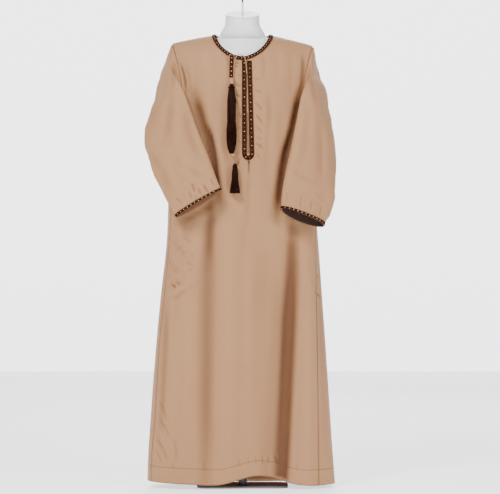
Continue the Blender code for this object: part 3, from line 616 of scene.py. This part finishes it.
def finished(item, finish, node):
    """Gives a piece its material and its place on the body, and hides the CAD node that it stands for.
    """
    item.data.materials.clear()
    item.data.materials.append(finish)
    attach(item, "root")
    if node:
        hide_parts(node)
    print(item.name, "has", len(item.data.polygons), "faces")
    return item

# %% [markdown]
# The front panel hangs in long soft folds from the chest to the hem. Small creases gather
# where the cloth is sewn: beside the placket, over the pocket bags and along the hem.


# %% List the creases of the front
def in_metres(rows):
    return tuple(tuple(value / 1000 for value in row) for row in rows)


# In mm: x and height of the start, the middle and the end, half width, rise of the crease
FRONT_CREASES = in_metres((
    (171, 1039, 148, 423, 96, -355, 16, -6.5),
    (148, 779, 132, 293, 109, -355, 38, -9),
    (216, 857, 219, 488, 213, -96, 17, 4.5),
    (-105, 974, -118, 585, -124, -161, 21, -5.5),
    (-98, 987, -105, 860, -111, 721, 13, -2.4),
    (-183, 779, -183, 488, -196, 66, 17, 2.2),
    (-43, 954, -43, 520, -50, -161, 23, 4.5),
    (-53, 1103, -50, 1022, -47, 925, 12, 2),
    (64, 812, 64, 455, 60, -226, 30, -3.4),
    (12, 779, 12, 488, 5, 66, 14, 1.6),
    (-215, 867, -154, 896, -85, 941, 14, -5),
    (135, 857, 187, 838, 245, 818, 15, -2),
    (-248, 617, -257, 406, -273, 131, 10, -2.6),
    (-215, 552, -222, 358, -235, 124, 12, 1.8),
    (235, 617, 245, 390, 252, 131, 10, 1.6),
    (-236, 744, -230, 724, -215, 711, 3.4, -4.6),
    (-225, 802, -205, 786, -179, 753, 7, -2.3),
    (-170, 776, -162, 760, -157, 744, 5, -1.7),
    (-196, 825, -179, 812, -160, 802, 6, -1.7),
    (-183, 740, -170, 734, -158, 726, 3.2, -2.3),
    (-189, 710, -173, 714, -157, 723, 3.4, -2.3),
    (-215, 737, -196, 721, -176, 708, 5, 2.6),
    (-235, 669, -225, 663, -217, 653, 3.2, -3.8),
    (-215, 676, -202, 666, -188, 674, 3.6, -2.5),
    (-241, 637, -199, 663, -160, 698, 7, 3.5),
    (-228, 624, -183, 646, -141, 679, 7, -2.2),
    (-235, 698, -215, 692, -196, 698, 4, 2),
    (-231, 773, -226, 760, -222, 744, 4, 2),
    (235, 648, 245, 637, 257, 624, 3.2, -3.5),
    (216, 698, 226, 679, 235, 659, 4, -2),
    (235, 708, 245, 698, 255, 682, 3.5, -2),
    (203, 740, 219, 721, 232, 689, 6, -1.6),
    (-273, 228, -251, 196, -235, 160, 6, -1.6),
    (-286, 163, -261, 131, -244, 89, 5, -1.7),
    (-283, 202, -267, 176, -257, 144, 5, 1.3),
    (-290, 124, -273, 108, -264, 82, 4, -1.4),
    (-228, 170, -218, 131, -215, 89, 6, -1.2),
    (-277, 287, -257, 254, -244, 215, 6, -1.2),
    (-205, 1389, -191, 1343, -186, 1291, 4, -3.4),
    (-176, 1395, -167, 1343, -163, 1285, 8, 1.6),
    (-160, 1291, -128, 1181, -95, 1052, 15, -9),
    (-115, 1175, -98, 1097, -72, 928, 12, -9),
    (-111, 1330, -108, 1278, -102, 1227, 10, 1.4),
    (-69, 1207, -69, 1103, -66, 974, 12, 3.2),
    (198, 1418, 200, 1363, 193, 1291, 7, -3.4),
    (174, 1411, 177, 1347, 171, 1266, 10, 1.8),
    (193, 1291, 171, 1194, 145, 1071, 12, -9),
    (154, 1155, 135, 1039, 112, 870, 14, -9),
    (109, 1207, 103, 1120, 96, 1006, 12, 2.6),
    (83, 1291, 86, 1240, 86, 1181, 9, -1.6),
    (-25, 1389, -17, 1387, -4, 1385, 2.8, -2.5),
    (-22, 1376, -14, 1377, -4, 1379, 2.6, -2.2),
    (-22, 1321, -14, 1314, -4, 1311, 2.8, -2.8),
    (-24, 1288, -14, 1280, -4, 1277, 3, -3.7),
    (-14, 1256, -11, 1249, -5, 1243, 2.6, -2.5),
    (-14, 1227, -9, 1217, -5, 1207, 2.8, -2.8),
    (-16, 1181, -11, 1175, -4, 1172, 2.8, -2.3),
    (-17, 1350, -11, 1347, -4, 1340, 2.6, -1.9),
    (-17, 1269, -13, 1262, -9, 1233, 4, 1.9),
    (-14, 1136, -9, 1129, -4, 1126, 2.8, -2),
    (39, 1337, 47, 1334, 60, 1334, 2.6, -1.9),
    (41, 1298, 51, 1295, 64, 1288, 2.8, -2.2),
    (43, 1256, 54, 1246, 67, 1230, 3, -2.5),
    (44, 1217, 54, 1207, 67, 1188, 3, -3.1),
    (44, 1178, 54, 1172, 64, 1159, 2.8, -2.3),
    (46, 1146, 54, 1142, 67, 1136, 2.6, -2),
    (44, 1126, 54, 1120, 67, 1108, 3, -3.7),
    (44, 1094, 51, 1087, 60, 1071, 2.8, -2.3),
    (-4, 1078, -14, 1065, -21, 1045, 3.2, -2),
    (21, 1068, 21, 1048, 20, 1022, 2.8, -3.4),
    (20, 1032, 18, 958, 15, 860, 9, -1.2),
    (-66, 1428, -47, 1395, -37, 1356, 7, -1.3),
    (-121, 1444, -118, 1395, -105, 1337, 12, 1.3),
    (64, 1421, 70, 1376, 64, 1330, 8, -1.1),
    (125, 1437, 132, 1389, 128, 1317, 11, 1.4),
    (18, 105, 20, 92, 20, 79, 3.2, -1.3),
    (41, 108, 44, 95, 44, 82, 3.2, -1.3),
    (64, 108, 67, 95, 67, 79, 3.2, -1.4),
    (83, 108, 86, 95, 88, 82, 3, -1.3),
    (106, 108, 109, 95, 112, 79, 3.2, -1.4),
    (132, 99, 135, 89, 138, 73, 3.2, -1.2),
    (-11, 102, -11, 89, -11, 76, 3.4, -1.1),
    (-124, 92, -124, 79, -124, 63, 3.6, -1),
    (-228, 86, -225, 76, -223, 63, 3.4, -1.2),
    (174, 89, 177, 76, 177, 63, 3.6, -1),
))
print("creases on the front:", len(FRONT_CREASES))

# %% [markdown]
# The photo doesn't show the back, so it gets the same kind of folds: a few long ones that
# fall from the shoulder blades, and short creases above the hem.

# %% List the creases of the back
BACK_CREASES = in_metres((
    (-140, 1330, -150, 1120, -158, 820, 18, -4),
    (128, 1340, 142, 1100, 152, 800, 18, -4),
    (-80, 1260, -76, 980, -70, 600, 22, 3.5),
    (70, 1240, 80, 960, 88, 620, 22, 3.5),
    (4, 1380, 6, 1240, 10, 1060, 20, -2.2),
    (-170, 780, -182, 430, -196, 130, 17, -4),
    (-112, 720, -118, 400, -124, 120, 18, 3.5),
    (-46, 690, -40, 380, -30, 110, 16, -3.5),
    (20, 640, 28, 360, 34, 110, 18, 3),
    (88, 700, 98, 390, 110, 110, 16, -3.8),
    (150, 760, 160, 420, 176, 120, 18, 3.2),
    (205, 720, 212, 400, 226, 120, 14, -2.8),
    (-225, 640, -236, 380, -250, 130, 14, 2.5),
    (-185, 1410, -172, 1350, -160, 1270, 10, -2.6),
    (180, 1400, 170, 1340, 160, 1260, 10, -2.6),
    (-40, 1060, -30, 900, -34, 740, 14, -1.8),
    (36, 1010, 30, 880, 34, 720, 14, -1.8),
    (-200, 62, -200, 50, -199, 36, 3.6, -1.1),
    (-120, 60, -119, 48, -118, 34, 3.6, -1.1),
    (-34, 62, -34, 49, -33, 34, 3.4, -1.2),
    (48, 61, 49, 48, 49, 34, 3.6, -1.1),
    (132, 62, 132, 50, 133, 36, 3.6, -1.1),
    (210, 64, 211, 52, 212, 38, 3.4, -1.1),
))
print("creases on the back:", len(BACK_CREASES))

# %% [markdown]
# The front and back panels are the largest pieces. Each keeps the CAD sheet's place along
# its seams, so the pieces still meet there, and only the cloth between them moves. At the
# shoulders the CAD edges stand a few millimetres apart, so both are drawn to one seam line.
# Each panel also measures how high a point is over the hem, for the row of stitches.


# %% Make the front and back panels
CLOTH_WALL = 0.0016
HEM_ZONE = 0.07
HALF_WIDTH = 0.33
FINE_CREASE = 0.0065
SPLIT_REACH = 0.009
SHAPE_EDGE_KEEP = 0.030


def body_middle(point):
    return Vector((point.x * 0.75, 0.0, min(point.z, 1.38)))


def hem_height(mesh):
    """Each point's height over the lower rim on its own side of the robe."""
    spots = [spot for spot in rim_of(mesh) if spot.z < HEM_ZONE]
    result = np.zeros(len(mesh.vertices))
    bins = np.linspace(-HALF_WIDTH, HALF_WIDTH, 67)
    lowest = {}
    for side in (-1, 1):
        found = []
        for start in bins:
            near = [spot.z for spot in spots if abs(spot.x - start) < 0.008 and spot.y * side > -0.004]
            found.append(min(near) if near else float("nan"))
        found = np.array(found)
        known = ~np.isnan(found)
        lowest[side] = np.zeros(len(bins))
        if known.any():
            lowest[side] = np.interp(bins, bins[known], found[known])
    for index, vertex in enumerate(mesh.vertices):
        side = 1 if vertex.co.y > 0.0 else -1
        result[index] = vertex.co.z - np.interp(vertex.co.x, bins, lowest[side])
    return result


def fine_spots(creases):
    spots = []
    for row in creases:
        if row[6] < FINE_CREASE:
            spots += [Vector((x, 0.0, z)) for x, z in crease_line(row)]
    return spots


SEAM_Y = -0.0005
SEAM_GAP = 0.0004
SEAM_REACH = 0.016


def close_shoulder(item):
    """Draws a panel's shoulder edges to the seam line, and the cloth beside them after them."""
    made = bmesh.new()
    made.from_mesh(item.data)
    edge = [
        vertex.co.copy() for vertex in made.verts
        if vertex.is_boundary and vertex.co.z > 1.44 and abs(vertex.co.y - SEAM_Y) < 0.0036
    ]
    tree = tree_of(edge)
    for vertex in made.verts:
        spot, _, away = tree.find(vertex.co)
        gap = SEAM_Y - spot.y
        if away < SEAM_REACH and abs(gap) > SEAM_GAP:
            vertex.co.y += (gap - math.copysign(SEAM_GAP, gap)) * (1.0 - away / SEAM_REACH)
    made.to_mesh(item.data)
    made.free()
    print(item.name, "shoulder points drawn to the seam:", len(edge))


def cloth_piece(node, name, centre_of, levels, sides, finish, shapes=()):
    """A soft shell on a CAD sheet. Sides lists the creases and the way that they face."""
    item = rounded(object_from(outer_sheet(node, centre_of, CLOTH_WALL), name), levels)
    spots = fine_spots([row for creases, facing in sides for row in creases if facing < 0])
    if spots:
        split_near(item, spots, SPLIT_REACH)
    if node in ("front_panel", "back_panel"):
        close_shoulder(item)
    press(item, shapes, 0, SHAPE_EDGE_KEEP)
    edge = press_all(item, sides)
    keep_number(item.data, "edge", edge)
    keep_outward(item.data)
    if node in ("front_panel", "back_panel"):
        keep_number(item.data, "hem", hem_height(item.data))
    wall(item, CLOTH_WALL)
    return finished(item, finish, node)


def press_all(item, sides):
    total = None
    for creases, facing in sides:
        edge = press(item, creases, facing)
        values = np.zeros(len(item.data.vertices))
        item.data.attributes["fold"].data.foreach_get("value", values)
        total = values if total is None else total + values
    keep_number(item.data, "fold", np.clip(total, -1.0, 1.0))
    return edge


front_sides = ((FRONT_CREASES, -1),)
back_sides = ((FRONT_CREASES, -1), (BACK_CREASES, 1))
front = cloth_piece("front_panel", "robe_front", body_middle, 2, front_sides, robe_cloth)
back = cloth_piece("back_panel", "robe_back", body_middle, 2, back_sides, robe_cloth)

# %% [markdown]
# The sleeves are wide and hang a little forward. Short gathers stand over each cuff, where
# the cloth is eased into the trim. The backs of the sleeves get longer, quieter folds. Two
# more tables shape the whole sleeve: where it lies flatter or fuller along its outer side.

# %% List the sleeves' creases
RIGHT_CREASES = in_metres((
    (-164, 995, -157, 979, -156, 963, 3.6, -2.4),
    (-125, 989, -117, 976, -109, 965, 3.6, -2.4),
    (-145, 979, -138, 968, -133, 955, 3.8, -2.2),
    (-174, 966, -167, 957, -164, 944, 3.8, -1.9),
    (-154, 957, -149, 947, -146, 934, 3.4, -1.6),
    (-215, 947, -206, 939, -194, 929, 3.8, -2),
    (-101, 1011, -96, 999, -88, 982, 3.6, -1.6),
    (-135, 989, -130, 979, -122, 970, 3.6, 1.3),
    (-188, 963, -180, 950, -175, 934, 4, 1.2),
    (-198, 986, -178, 992, -156, 1005, 6, 1.2),
    (-228, 1318, -233, 1227, -244, 1118, 15, -1.8),
    (-256, 1263, -272, 1182, -282, 1102, 13, 1.8),
    (-298, 1102, -265, 1037, -230, 957, 12, -1.4),
    (-188, 1237, -169, 1150, -136, 1063, 13, -2),
    (-214, 1198, -201, 1108, -169, 1018, 11, 1.8),
    (-223, 1392, -223, 1347, -227, 1302, 8, -1.6),
    (-246, 1069, -227, 1018, -201, 973, 9, 1.3),
    (-207, 1069, -169, 1037, -124, 1018, 9, -1.2),
))
LEFT_CREASES = in_metres((
    (144, 967, 142, 950, 142, 934, 4, -1),
    (191, 954, 189, 938, 187, 918, 4.2, -1.2),
    (227, 938, 223, 925, 220, 907, 4, -1.3),
    (257, 918, 254, 905, 251, 891, 3.6, -1.4),
    (167, 947, 186, 941, 209, 928, 5, 0.9),
    (225, 954, 244, 944, 267, 925, 6, 1.2),
    (241, 1238, 251, 1118, 244, 1005, 14, -1.4),
    (186, 1225, 170, 1118, 147, 1005, 10, 2),
    (209, 1248, 206, 1151, 186, 1044, 11, -1.1),
    (267, 1167, 273, 1086, 270, 999, 9, 1.4),
    (218, 1361, 228, 1302, 241, 1248, 8, -1.6),
    (157, 1044, 186, 1018, 238, 992, 9, -1),
))
RIGHT_BACK_CREASES = in_metres((
    (-272, 1300, -276, 1230, -285, 1150, 12, -2.8),
    (-250, 1250, -262, 1170, -262, 1090, 12, 2),
    (-290, 1140, -268, 1060, -236, 985, 11, -2.4),
    (-230, 1090, -206, 1020, -176, 960, 11, -2),
    (-190, 950, -184, 935, -176, 920, 4, -1.4),
    (-162, 968, -156, 954, -148, 940, 4, -1.4),
    (-214, 936, -208, 922, -200, 906, 4, -1.4),
))
LEFT_BACK_CREASES = in_metres((
    (268, 1290, 272, 1220, 278, 1140, 12, -2.8),
    (250, 1230, 256, 1150, 258, 1070, 12, 2),
    (284, 1120, 278, 1040, 264, 950, 11, -2.4),
    (232, 1070, 228, 990, 214, 930, 11, -2),
    (188, 920, 186, 906, 182, 890, 4, -1.4),
    (216, 914, 214, 898, 210, 880, 4, -1.4),
    (244, 905, 242, 890, 238, 872, 4, -1.4),
))
RIGHT_SHAPES = in_metres((
    (-262, 1372, -282, 1304, -299, 1238, 26, -11.5),
    (-306, 1205, -319, 1146, -313, 1080, 20, 9),
    (-296, 1067, -283, 1035, -270, 995, 16, 4),
))
LEFT_SHAPES = in_metres((
    (252, 1378, 274, 1295, 293, 1198, 27, -10.5),
    (300, 982, 290, 917, 277, 864, 18, 9),
))
print("creases on the sleeves:", len(RIGHT_CREASES) + len(LEFT_CREASES))


# %% Make the sleeves
def middle_of(node, reach=0.11):
    """A centre for any point: the mean of the node's points within reach."""
    points = np.array([vertex.co[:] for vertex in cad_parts[node].data.vertices])

    def near(point):
        away = np.linalg.norm(points - np.array(point), axis=1)
        return Vector(points[away < reach].mean(axis=0))

    return near


for side, creases, behind, shapes in (
    ("right", RIGHT_CREASES, RIGHT_BACK_CREASES, RIGHT_SHAPES),
    ("left", LEFT_CREASES, LEFT_BACK_CREASES, LEFT_SHAPES),
):
    node = "sleeve_" + side
    sides = ((creases, -1), (behind, 1))
    cloth = sleeve_cloths[side]
    cloth_piece(node, "robe_" + node, middle_of(node), 3, sides, cloth, shapes)

# %% [markdown]
# The pocket bags hang inside the side seams, flat against the front. They are plain cloth.

# %% Make the pocket bags
for side in ("right", "left"):
    node = "pocket_" + side
    cloth_piece(node, "robe_" + node, body_middle, 2, (((), -1),), small_cloth)

# %% [markdown]
# A woven band needs to know where each point lies along and across it. A line is drawn
# down the band's middle, and each point is measured from its nearest place on that line.


# %% Measure a band along and across
def ring_line(points, count):
    """A closed line through the middle of a ring-shaped band."""
    centre = points.mean(axis=0)
    _, _, axes = np.linalg.svd(points - centre, full_matrices=False)
    flat = (points - centre) @ axes[:2].T
    turn = np.arctan2(flat[:, 1], flat[:, 0])
    places = np.floor((turn + np.pi) / (2 * np.pi) * count).astype(int) % count
    parts = [points[places == index] for index in range(count)]
    line = [part.mean(axis=0) for part in parts if len(part)]
    return np.array(line + line[:1])


def measure_band(item, line):
    """Measures along a line of (x, height) places, or along a ring in a number of steps."""
    points = point_values(item.data, "co")
    line = ring_line(points, line) if isinstance(line, int) else np.array(line)
    if line.shape[1] == 2:
        points = points[:, [0, 2]]
    best, stretch, share = nearest_on(points, line)
    lengths = np.linalg.norm(np.diff(line, axis=0), axis=1)
    runs = np.concatenate([[0.0], np.cumsum(lengths)])
    keep_number(item.data, "along", runs[stretch] + share * lengths[stretch])
    keep_number(item.data, "across", best)
    return runs[-1]


print("band tools ready")

# %% [markdown]
# The trims lie on the cloth: one round the neck, one in a U round the placket's slit, one on
# each cuff and a short one on the strap that holds the tassels. The strap itself and the bar
# tack under the placket are made the same way.

# %% Make the trims
TRIM_WALL = 0.0013


def band_piece(node, name, centre_of, finish, line, levels=2):
    item = rounded(object_from(outer_sheet(node, centre_of, TRIM_WALL), name), levels)
    length = measure_band(item, line)
    wall(item, TRIM_WALL)
    print(name, "is", round(length * 1000), "mm long")
    return finished(item, finish, node)


PLACKET_MIDDLE = 0.0190
PLACKET_SPREAD = 0.0123
PLACKET_TURN = 1.0896
PLACKET_TOP = 1.3942
PLACKET_U = [(0.00605, PLACKET_TOP)]
for turn in range(0, 181, 15):
    angle = math.radians(turn)
    PLACKET_U.append((
        PLACKET_MIDDLE - PLACKET_SPREAD * math.cos(angle),
        PLACKET_TURN - PLACKET_SPREAD * math.sin(angle),
    ))
PLACKET_U.append((0.02295, PLACKET_TOP))


def chest_middle(point):
    return Vector((point.x, 0.0, point.z))


def neck_middle(point):
    return Vector((point.x * 0.8, 0.0, 1.36))


band_piece("neck_trim", "neck_trim_band", neck_middle, neck_weave, 88)
for node, name, finish, line in (
    ("placket_trim", "placket_trim_band", placket_weave, PLACKET_U),
    ("under_placket", "under_placket_strip", strip_cloth, [(0.0170, 1.222), (0.0189, 1.0945)]),
    ("strap_trim", "strap_trim_band", cuff_weave, [(-0.0345, 1.4112), (-0.0363, 1.3385)]),
):
    band_piece(node, name, chest_middle, finish, line)
for side in ("right", "left"):
    node = "cuff_trim_" + side
    centre = middle_of("sleeve_" + side)
    band_piece(node, "cuff_trim_band_" + side, centre, cuff_weave, 44, 3)
strap_line = [(-0.0345, 1.4130), (-0.0360, 1.3353)]
strap = band_piece("strap", "tassel_strap", chest_middle, small_cloth, strap_line)
tack_line = [(0.0203, 1.0686), (0.0203, 1.0612)]
band_piece("bar_tack", "placket_bar_tack", chest_middle, tack_thread, tack_line)

# %% [markdown]
# A tassel is a hank of threads, bound at the top. One straight thread is extruded from a
# small circle and copied. Then every ring of every copy is moved to its own place, so the
# bundle swells and narrows as the real one does.


# %% Twist and bundle threads
def straight_thread(rings, sides):
    """A thread of radius 1 that hangs down from the origin, one unit for each ring."""
    made = bmesh.new()
    bmesh.ops.create_circle(made, cap_ends=True, segments=sides, radius=1.0)
    edges = list(made.edges)
    for _ in range(rings):
        moved = bmesh.ops.extrude_edge_only(made, edges=edges)["geom"]
        new = [part for part in moved if isinstance(part, bmesh.types.BMVert)]
        lines = [part for part in moved if isinstance(part, bmesh.types.BMEdge)]
        edges = [line for line in lines if all(vertex in new for vertex in line.verts)]
        bmesh.ops.translate(made, verts=new, vec=(0.0, 0.0, -1.0))
    bmesh.ops.holes_fill(made, edges=edges)
    bmesh.ops.recalc_face_normals(made, faces=made.faces)
    mesh = bpy.data.meshes.new("one_thread")
    made.to_mesh(mesh)
    made.free()
    return mesh


def bundle(name, count, rings, sides, place_of, thickness_of):
    """Threads whose middle line goes through place_of(thread, share of the way down)."""
    thread = straight_thread(rings, sides)
    made = bmesh.new()
    for _ in range(count):
        made.from_mesh(thread)
    made.verts.ensure_lookup_table()
    each = len(thread.vertices)
    for index, vertex in enumerate(made.verts):
        number = index // each
        share = -vertex.co.z / rings
        here = Vector(place_of(number, share))
        after = Vector(place_of(number, min(share + 0.01, 1.0)))
        before = Vector(place_of(number, max(share - 0.01, 0.0)))
        turn = (before - after).normalized().to_track_quat("Z", "Y")
        flat = Vector((vertex.co.x, vertex.co.y, 0.0)) * thickness_of(number, share)
        vertex.co = here + turn @ flat
    bmesh.ops.recalc_face_normals(made, faces=made.faces)
    bpy.data.meshes.remove(thread)
    return object_from(made, name)


def turned(name, profile, x, y, steps=24):
    """A turned piece: a line of radius and height, spun round an upright axis."""
    made = bmesh.new()
    line = [made.verts.new((radius, 0.0, height)) for radius, height in profile]
    edges = [made.edges.new(pair) for pair in zip(line, line[1:])]
    bmesh.ops.spin(
        made, geom=line + edges, cent=(0, 0, 0), axis=(0, 0, 1), dvec=(0, 0, 0),
        angle=math.radians(360), steps=steps, use_merge=True,
    )
    bmesh.ops.remove_doubles(made, verts=made.verts, dist=0.00001)
    bmesh.ops.recalc_face_normals(made, faces=made.faces)
    bmesh.ops.translate(made, verts=made.verts, vec=(x, y, 0.0))
    return object_from(made, name)


print("thread tools ready")

# %% [markdown]
# The tassels hang just in front of the chest, so their middle line follows it. The upper one
# has 200 threads and the lower one 160. Each turns a little as it falls, and the outline of
# the bundle swells and narrows, so neither tassel looks like a plain cone.

# %% Make the two tassels
# height, y of the line that the tassels hang on
HANG = (
    (0.95, -0.1390), (1.06, -0.1388), (1.20, -0.1395), (1.27, -0.1335), (1.31, -0.1228),
    (1.34, -0.1180),
)
UPPER_X = -0.0350
LOWER_X = -0.0240
GOLDEN_TURN = 2.39996


def hang_y(z):
    return float(np.interp(z, [row[0] for row in HANG], [row[1] for row in HANG]))


def tassel(name, node, x, top, foot, outline, count, thread_radius):
    shares = [row[0] for row in outline]
    radii = [row[1] for row in outline]

    def place_of(number, share):
        out = math.sqrt((number + 0.5) / count)
        turn = number * GOLDEN_TURN + 0.25 * math.sin(share * 5.0 + number)
        radius = float(np.interp(share, shares, radii)) - thread_radius
        length = (top - foot) * (1.0 - 0.035 * (0.5 + 0.5 * math.sin(number * 3.7)) * share)
        z = top - 0.0015 - (length - 0.0015) * share
        wave = 0.0009 * math.sin(share * 14.0 + number * 1.7) * share
        radius *= 1.0 + 0.09 * math.sin(2.0 * turn + share * 9.0) * min(share * 4.0, 1.0)
        return (
            x + out * radius * math.cos(turn) + wave,
            hang_y(z) + out * radius * math.sin(turn),
            z,
        )

    def thickness_of(number, share):
        return thread_radius * (1.0 - 0.25 * share)

    threads = bundle(name, count, 12, 5, place_of, thickness_of)
    return finished(threads, tassel_silk, node)


# share of the way down, radius
UPPER_OUTLINE = (
    (0.0, 0.0066), (0.04, 0.0090), (0.12, 0.0112), (0.24, 0.0142), (0.34, 0.0146), (0.46, 0.0158),
    (0.56, 0.0152), (0.68, 0.0172), (0.78, 0.0164), (0.87, 0.0160), (0.94, 0.0118), (1.0, 0.0070),
)
LOWER_OUTLINE = (
    (0.0, 0.0046), (0.08, 0.0070), (0.20, 0.0082), (0.45, 0.0118), (0.72, 0.0136), (1.0, 0.0172),
)
tassel("upper_tassel", "tassel_upper", UPPER_X, 1.3170, 1.0905, UPPER_OUTLINE, 200, 0.0012)
tassel("lower_tassel", "tassel_lower", LOWER_X, 1.0600, 0.9620, LOWER_OUTLINE, 160, 0.0010)

# %% [markdown]
# Each tassel's head is bound with beige cord, and a dark thread is wound round its shoulder.
# A winding is one turned piece with a ridge for each turn, which is lighter than real coils.


# %% Bind the tassels
def bound(name, x, top, foot, radius, turns, finish, node=None):
    """A band of cord wound round: a turned piece with one ridge for each turn."""
    profile = [(0.0, top)]
    for index in range(turns * 6 + 1):
        share = index / (turns * 6)
        swell = abs(math.sin(math.pi * share * turns)) ** 0.6
        profile.append((radius * (0.90 + 0.10 * swell), top - 0.0003 - (top - foot - 0.0006) * share))
    profile.append((0.0, foot))
    return finished(turned(name, profile, x, hang_y(top)), finish, node)


for name, x, top, foot, radius, turns, node in (
    ("upper_bind", UPPER_X, 1.3355, 1.3175, 0.0083, 7, "tassel_bind_upper"),
    ("lower_bind", -0.0295, 1.0900, 1.0810, 0.0078, 4, "tassel_bind_lower"),
):
    bound(name, x, top, foot, radius, turns, cord_silk, node)
bound("upper_tassel_winding", UPPER_X, 1.3085, 1.3035, 0.0118, 3, tassel_silk)
bound("lower_tassel_winding", LOWER_X, 1.0515, 1.0475, 0.0086, 3, tassel_silk)

# %% [markdown]
# Two short cords link the upper tassel to the lower one, and a sewn loop of the same cord
# rises from the strap and falls beside the placket. Each is two strands twisted round a line.


# %% Twist the two link cords and the loop
def twisted(name, points, radius, turns, node=None):
    """Two strands twisted round a line through points."""
    line = np.array(points, dtype=float)
    runs = np.concatenate([[0.0], np.cumsum(np.linalg.norm(np.diff(line, axis=0), axis=1))])

    def place_of(number, share):
        where = share * runs[-1]
        spot = [float(np.interp(where, runs, line[:, axis])) for axis in range(3)]
        turn = 2 * math.pi * turns * share + math.pi * number
        return spot[0] + radius * 0.5 * math.cos(turn), spot[1] + radius * 0.5 * math.sin(turn), spot[2]

    made = bundle(name, 2, max(8, turns * 6), 6, place_of, lambda number, share: radius * 0.55)
    return finished(made, cord_silk, node)


link_y = hang_y(1.0900)
for side, top_x, foot_x in (("right", -0.0340, -0.0256), ("left", -0.0250, -0.0224)):
    ends = [(top_x, link_y, 1.0804), (foot_x, link_y, 1.0606)]
    twisted("link_" + side, ends, 0.0012, 5, "link_cord_" + side)


def curved(points, count=24):
    """A smooth line through a few points."""
    points = [Vector(point) for point in points]
    chain = [points[0] * 2 - points[1]] + points + [points[-1] * 2 - points[-2]]
    made = []
    for start in range(1, len(chain) - 2):
        before, a, b, after = chain[start - 1:start + 3]
        for step in range(count // (len(points) - 1)):
            t = step / (count // (len(points) - 1))
            made.append(0.5 * (
                2 * a + (b - before) * t + (2 * before - 5 * a + 4 * b - after) * t ** 2
                + (3 * a - before - 3 * b + after) * t ** 3
            ))
    return made + [points[-1]]


LOOP = (
    (-0.0272, -0.1100, 1.3778), (-0.0239, -0.1060, 1.4000), (-0.0126, -0.1020, 1.4140),
    (0.0045, -0.1030, 1.4080), (0.0115, -0.1060, 1.3880), (0.0140, -0.1120, 1.3515),
)
twisted("neck_loop_cord", curved(LOOP), 0.0019, 14)

# %% [markdown]
# The dress form is smooth, so subdivision alone finishes it. Sharp rims are kept by a
# crease on the edges that turn steeply. The rod, the pole and the base plate have their
# right shape in the CAD model, so they only get their paint.


# %% Round the dress form
def whole_piece(node, name, levels, finish, steep=math.radians(66)):
    made = merged(node)
    bmesh.ops.join_triangles(
        made, faces=made.faces, angle_face_threshold=0.7, angle_shape_threshold=1.0,
    )
    made.normal_update()
    crease = made.edges.layers.float.new("crease_edge")
    for edge in made.edges:
        if len(edge.link_faces) == 2 and edge.calc_face_angle(0.0) > steep:
            edge[crease] = 0.85
    item = rounded(object_from(made, name), levels)
    return finished(item, finish, node)


whole_piece("form_torso", "dress_form_torso", 2, form_paint)
whole_piece("form_cap", "dress_form_cap", 1, cap_paint_with_top_light)
# The pole and the base plate get the near-black paint that stands in for the shadow under the hem.
for node in ("form_finial", "form_pole", "form_base"):
    paint = rod_paint if node == "form_finial" else stand_paint_as_hem_shadow
    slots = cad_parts[node].data.materials
    slots.clear()
    slots.append(paint)
print("form ready")

# %% [markdown]
# The cloth pieces are all made. The panels are slightly flared, and the sleeves taper to the cuff.

# %% The cloth pieces are made
print("cloth pieces made")

# %% [markdown]
# A pale floor, a bright plain wall behind the robe and broad soft lights stand in for a
# studio. The wall shines by itself, because a lit one would stay grey at this distance.


# %% Set the studio
def stage_plane(name, finish, upright_at=None):
    """A plain square of the studio. Upright ones stand at the given place."""
    made = bmesh.new()
    bmesh.ops.create_grid(made, x_segments=1, y_segments=1, size=6.0)
    if upright_at:
        turn = Matrix.Rotation(math.radians(90), 3, "X")
        bmesh.ops.rotate(made, verts=made.verts, cent=(0, 0, 0), matrix=turn)
        bmesh.ops.translate(made, verts=made.verts, vec=upright_at)
    plane = object_from(made, name)
    plane.data.materials.append(finish.material)


STUDIO_GLOW = (0.97, 0.97, 1.0, 1.0)
floor_finish = Finish("pale_floor", 0.6, Emission_Color=STUDIO_GLOW, Emission_Strength=1.3)
floor_shade = floor_finish.noise(3.0)
floor_finish.feed(
    Base_Color=floor_finish.mixed(floor_shade, (0.74, 0.74, 0.74, 1.0), (0.80, 0.80, 0.80, 1.0)),
)
wall_finish = Finish("bright_backdrop", 0.9, Emission_Color=STUDIO_GLOW, Emission_Strength=3.2)
stage_plane("studio_floor", floor_finish)
stage_plane("studio_backdrop", wall_finish, (0.0, 9.0, 3.0))


def area_light(name, place, target, size, power):
    lamp = bpy.data.lights.new(name, "AREA")
    lamp.size = size
    lamp.energy = power
    item = bpy.data.objects.new(name, lamp)
    item.location = place
    item.rotation_euler = (Vector(target) - Vector(place)).to_track_quat("-Z", "Y").to_euler()
    bpy.context.scene.collection.objects.link(item)


# name, place, target, size in metres, watts
for row in (
    ("key_light", (-1.7, -2.9, 4.0), (0, 0, 0.8), 1.1, 235),
    ("fill_light", (2.9, -3.2, 2.8), (0, 0, 0.8), 1.5, 110),
    ("back_light", (0.5, 3.5, 2.6), (0, 0, 1.0), 2.5, 60),
):
    area_light(*row)
world = bpy.data.worlds.new("studio_world")
world.use_nodes = True
world.node_tree.nodes["Background"].inputs[0].default_value = (0.93, 0.94, 0.96, 1.0)
world.node_tree.nodes["Background"].inputs[1].default_value = 0.52
bpy.context.scene.world = world
print("studio ready")
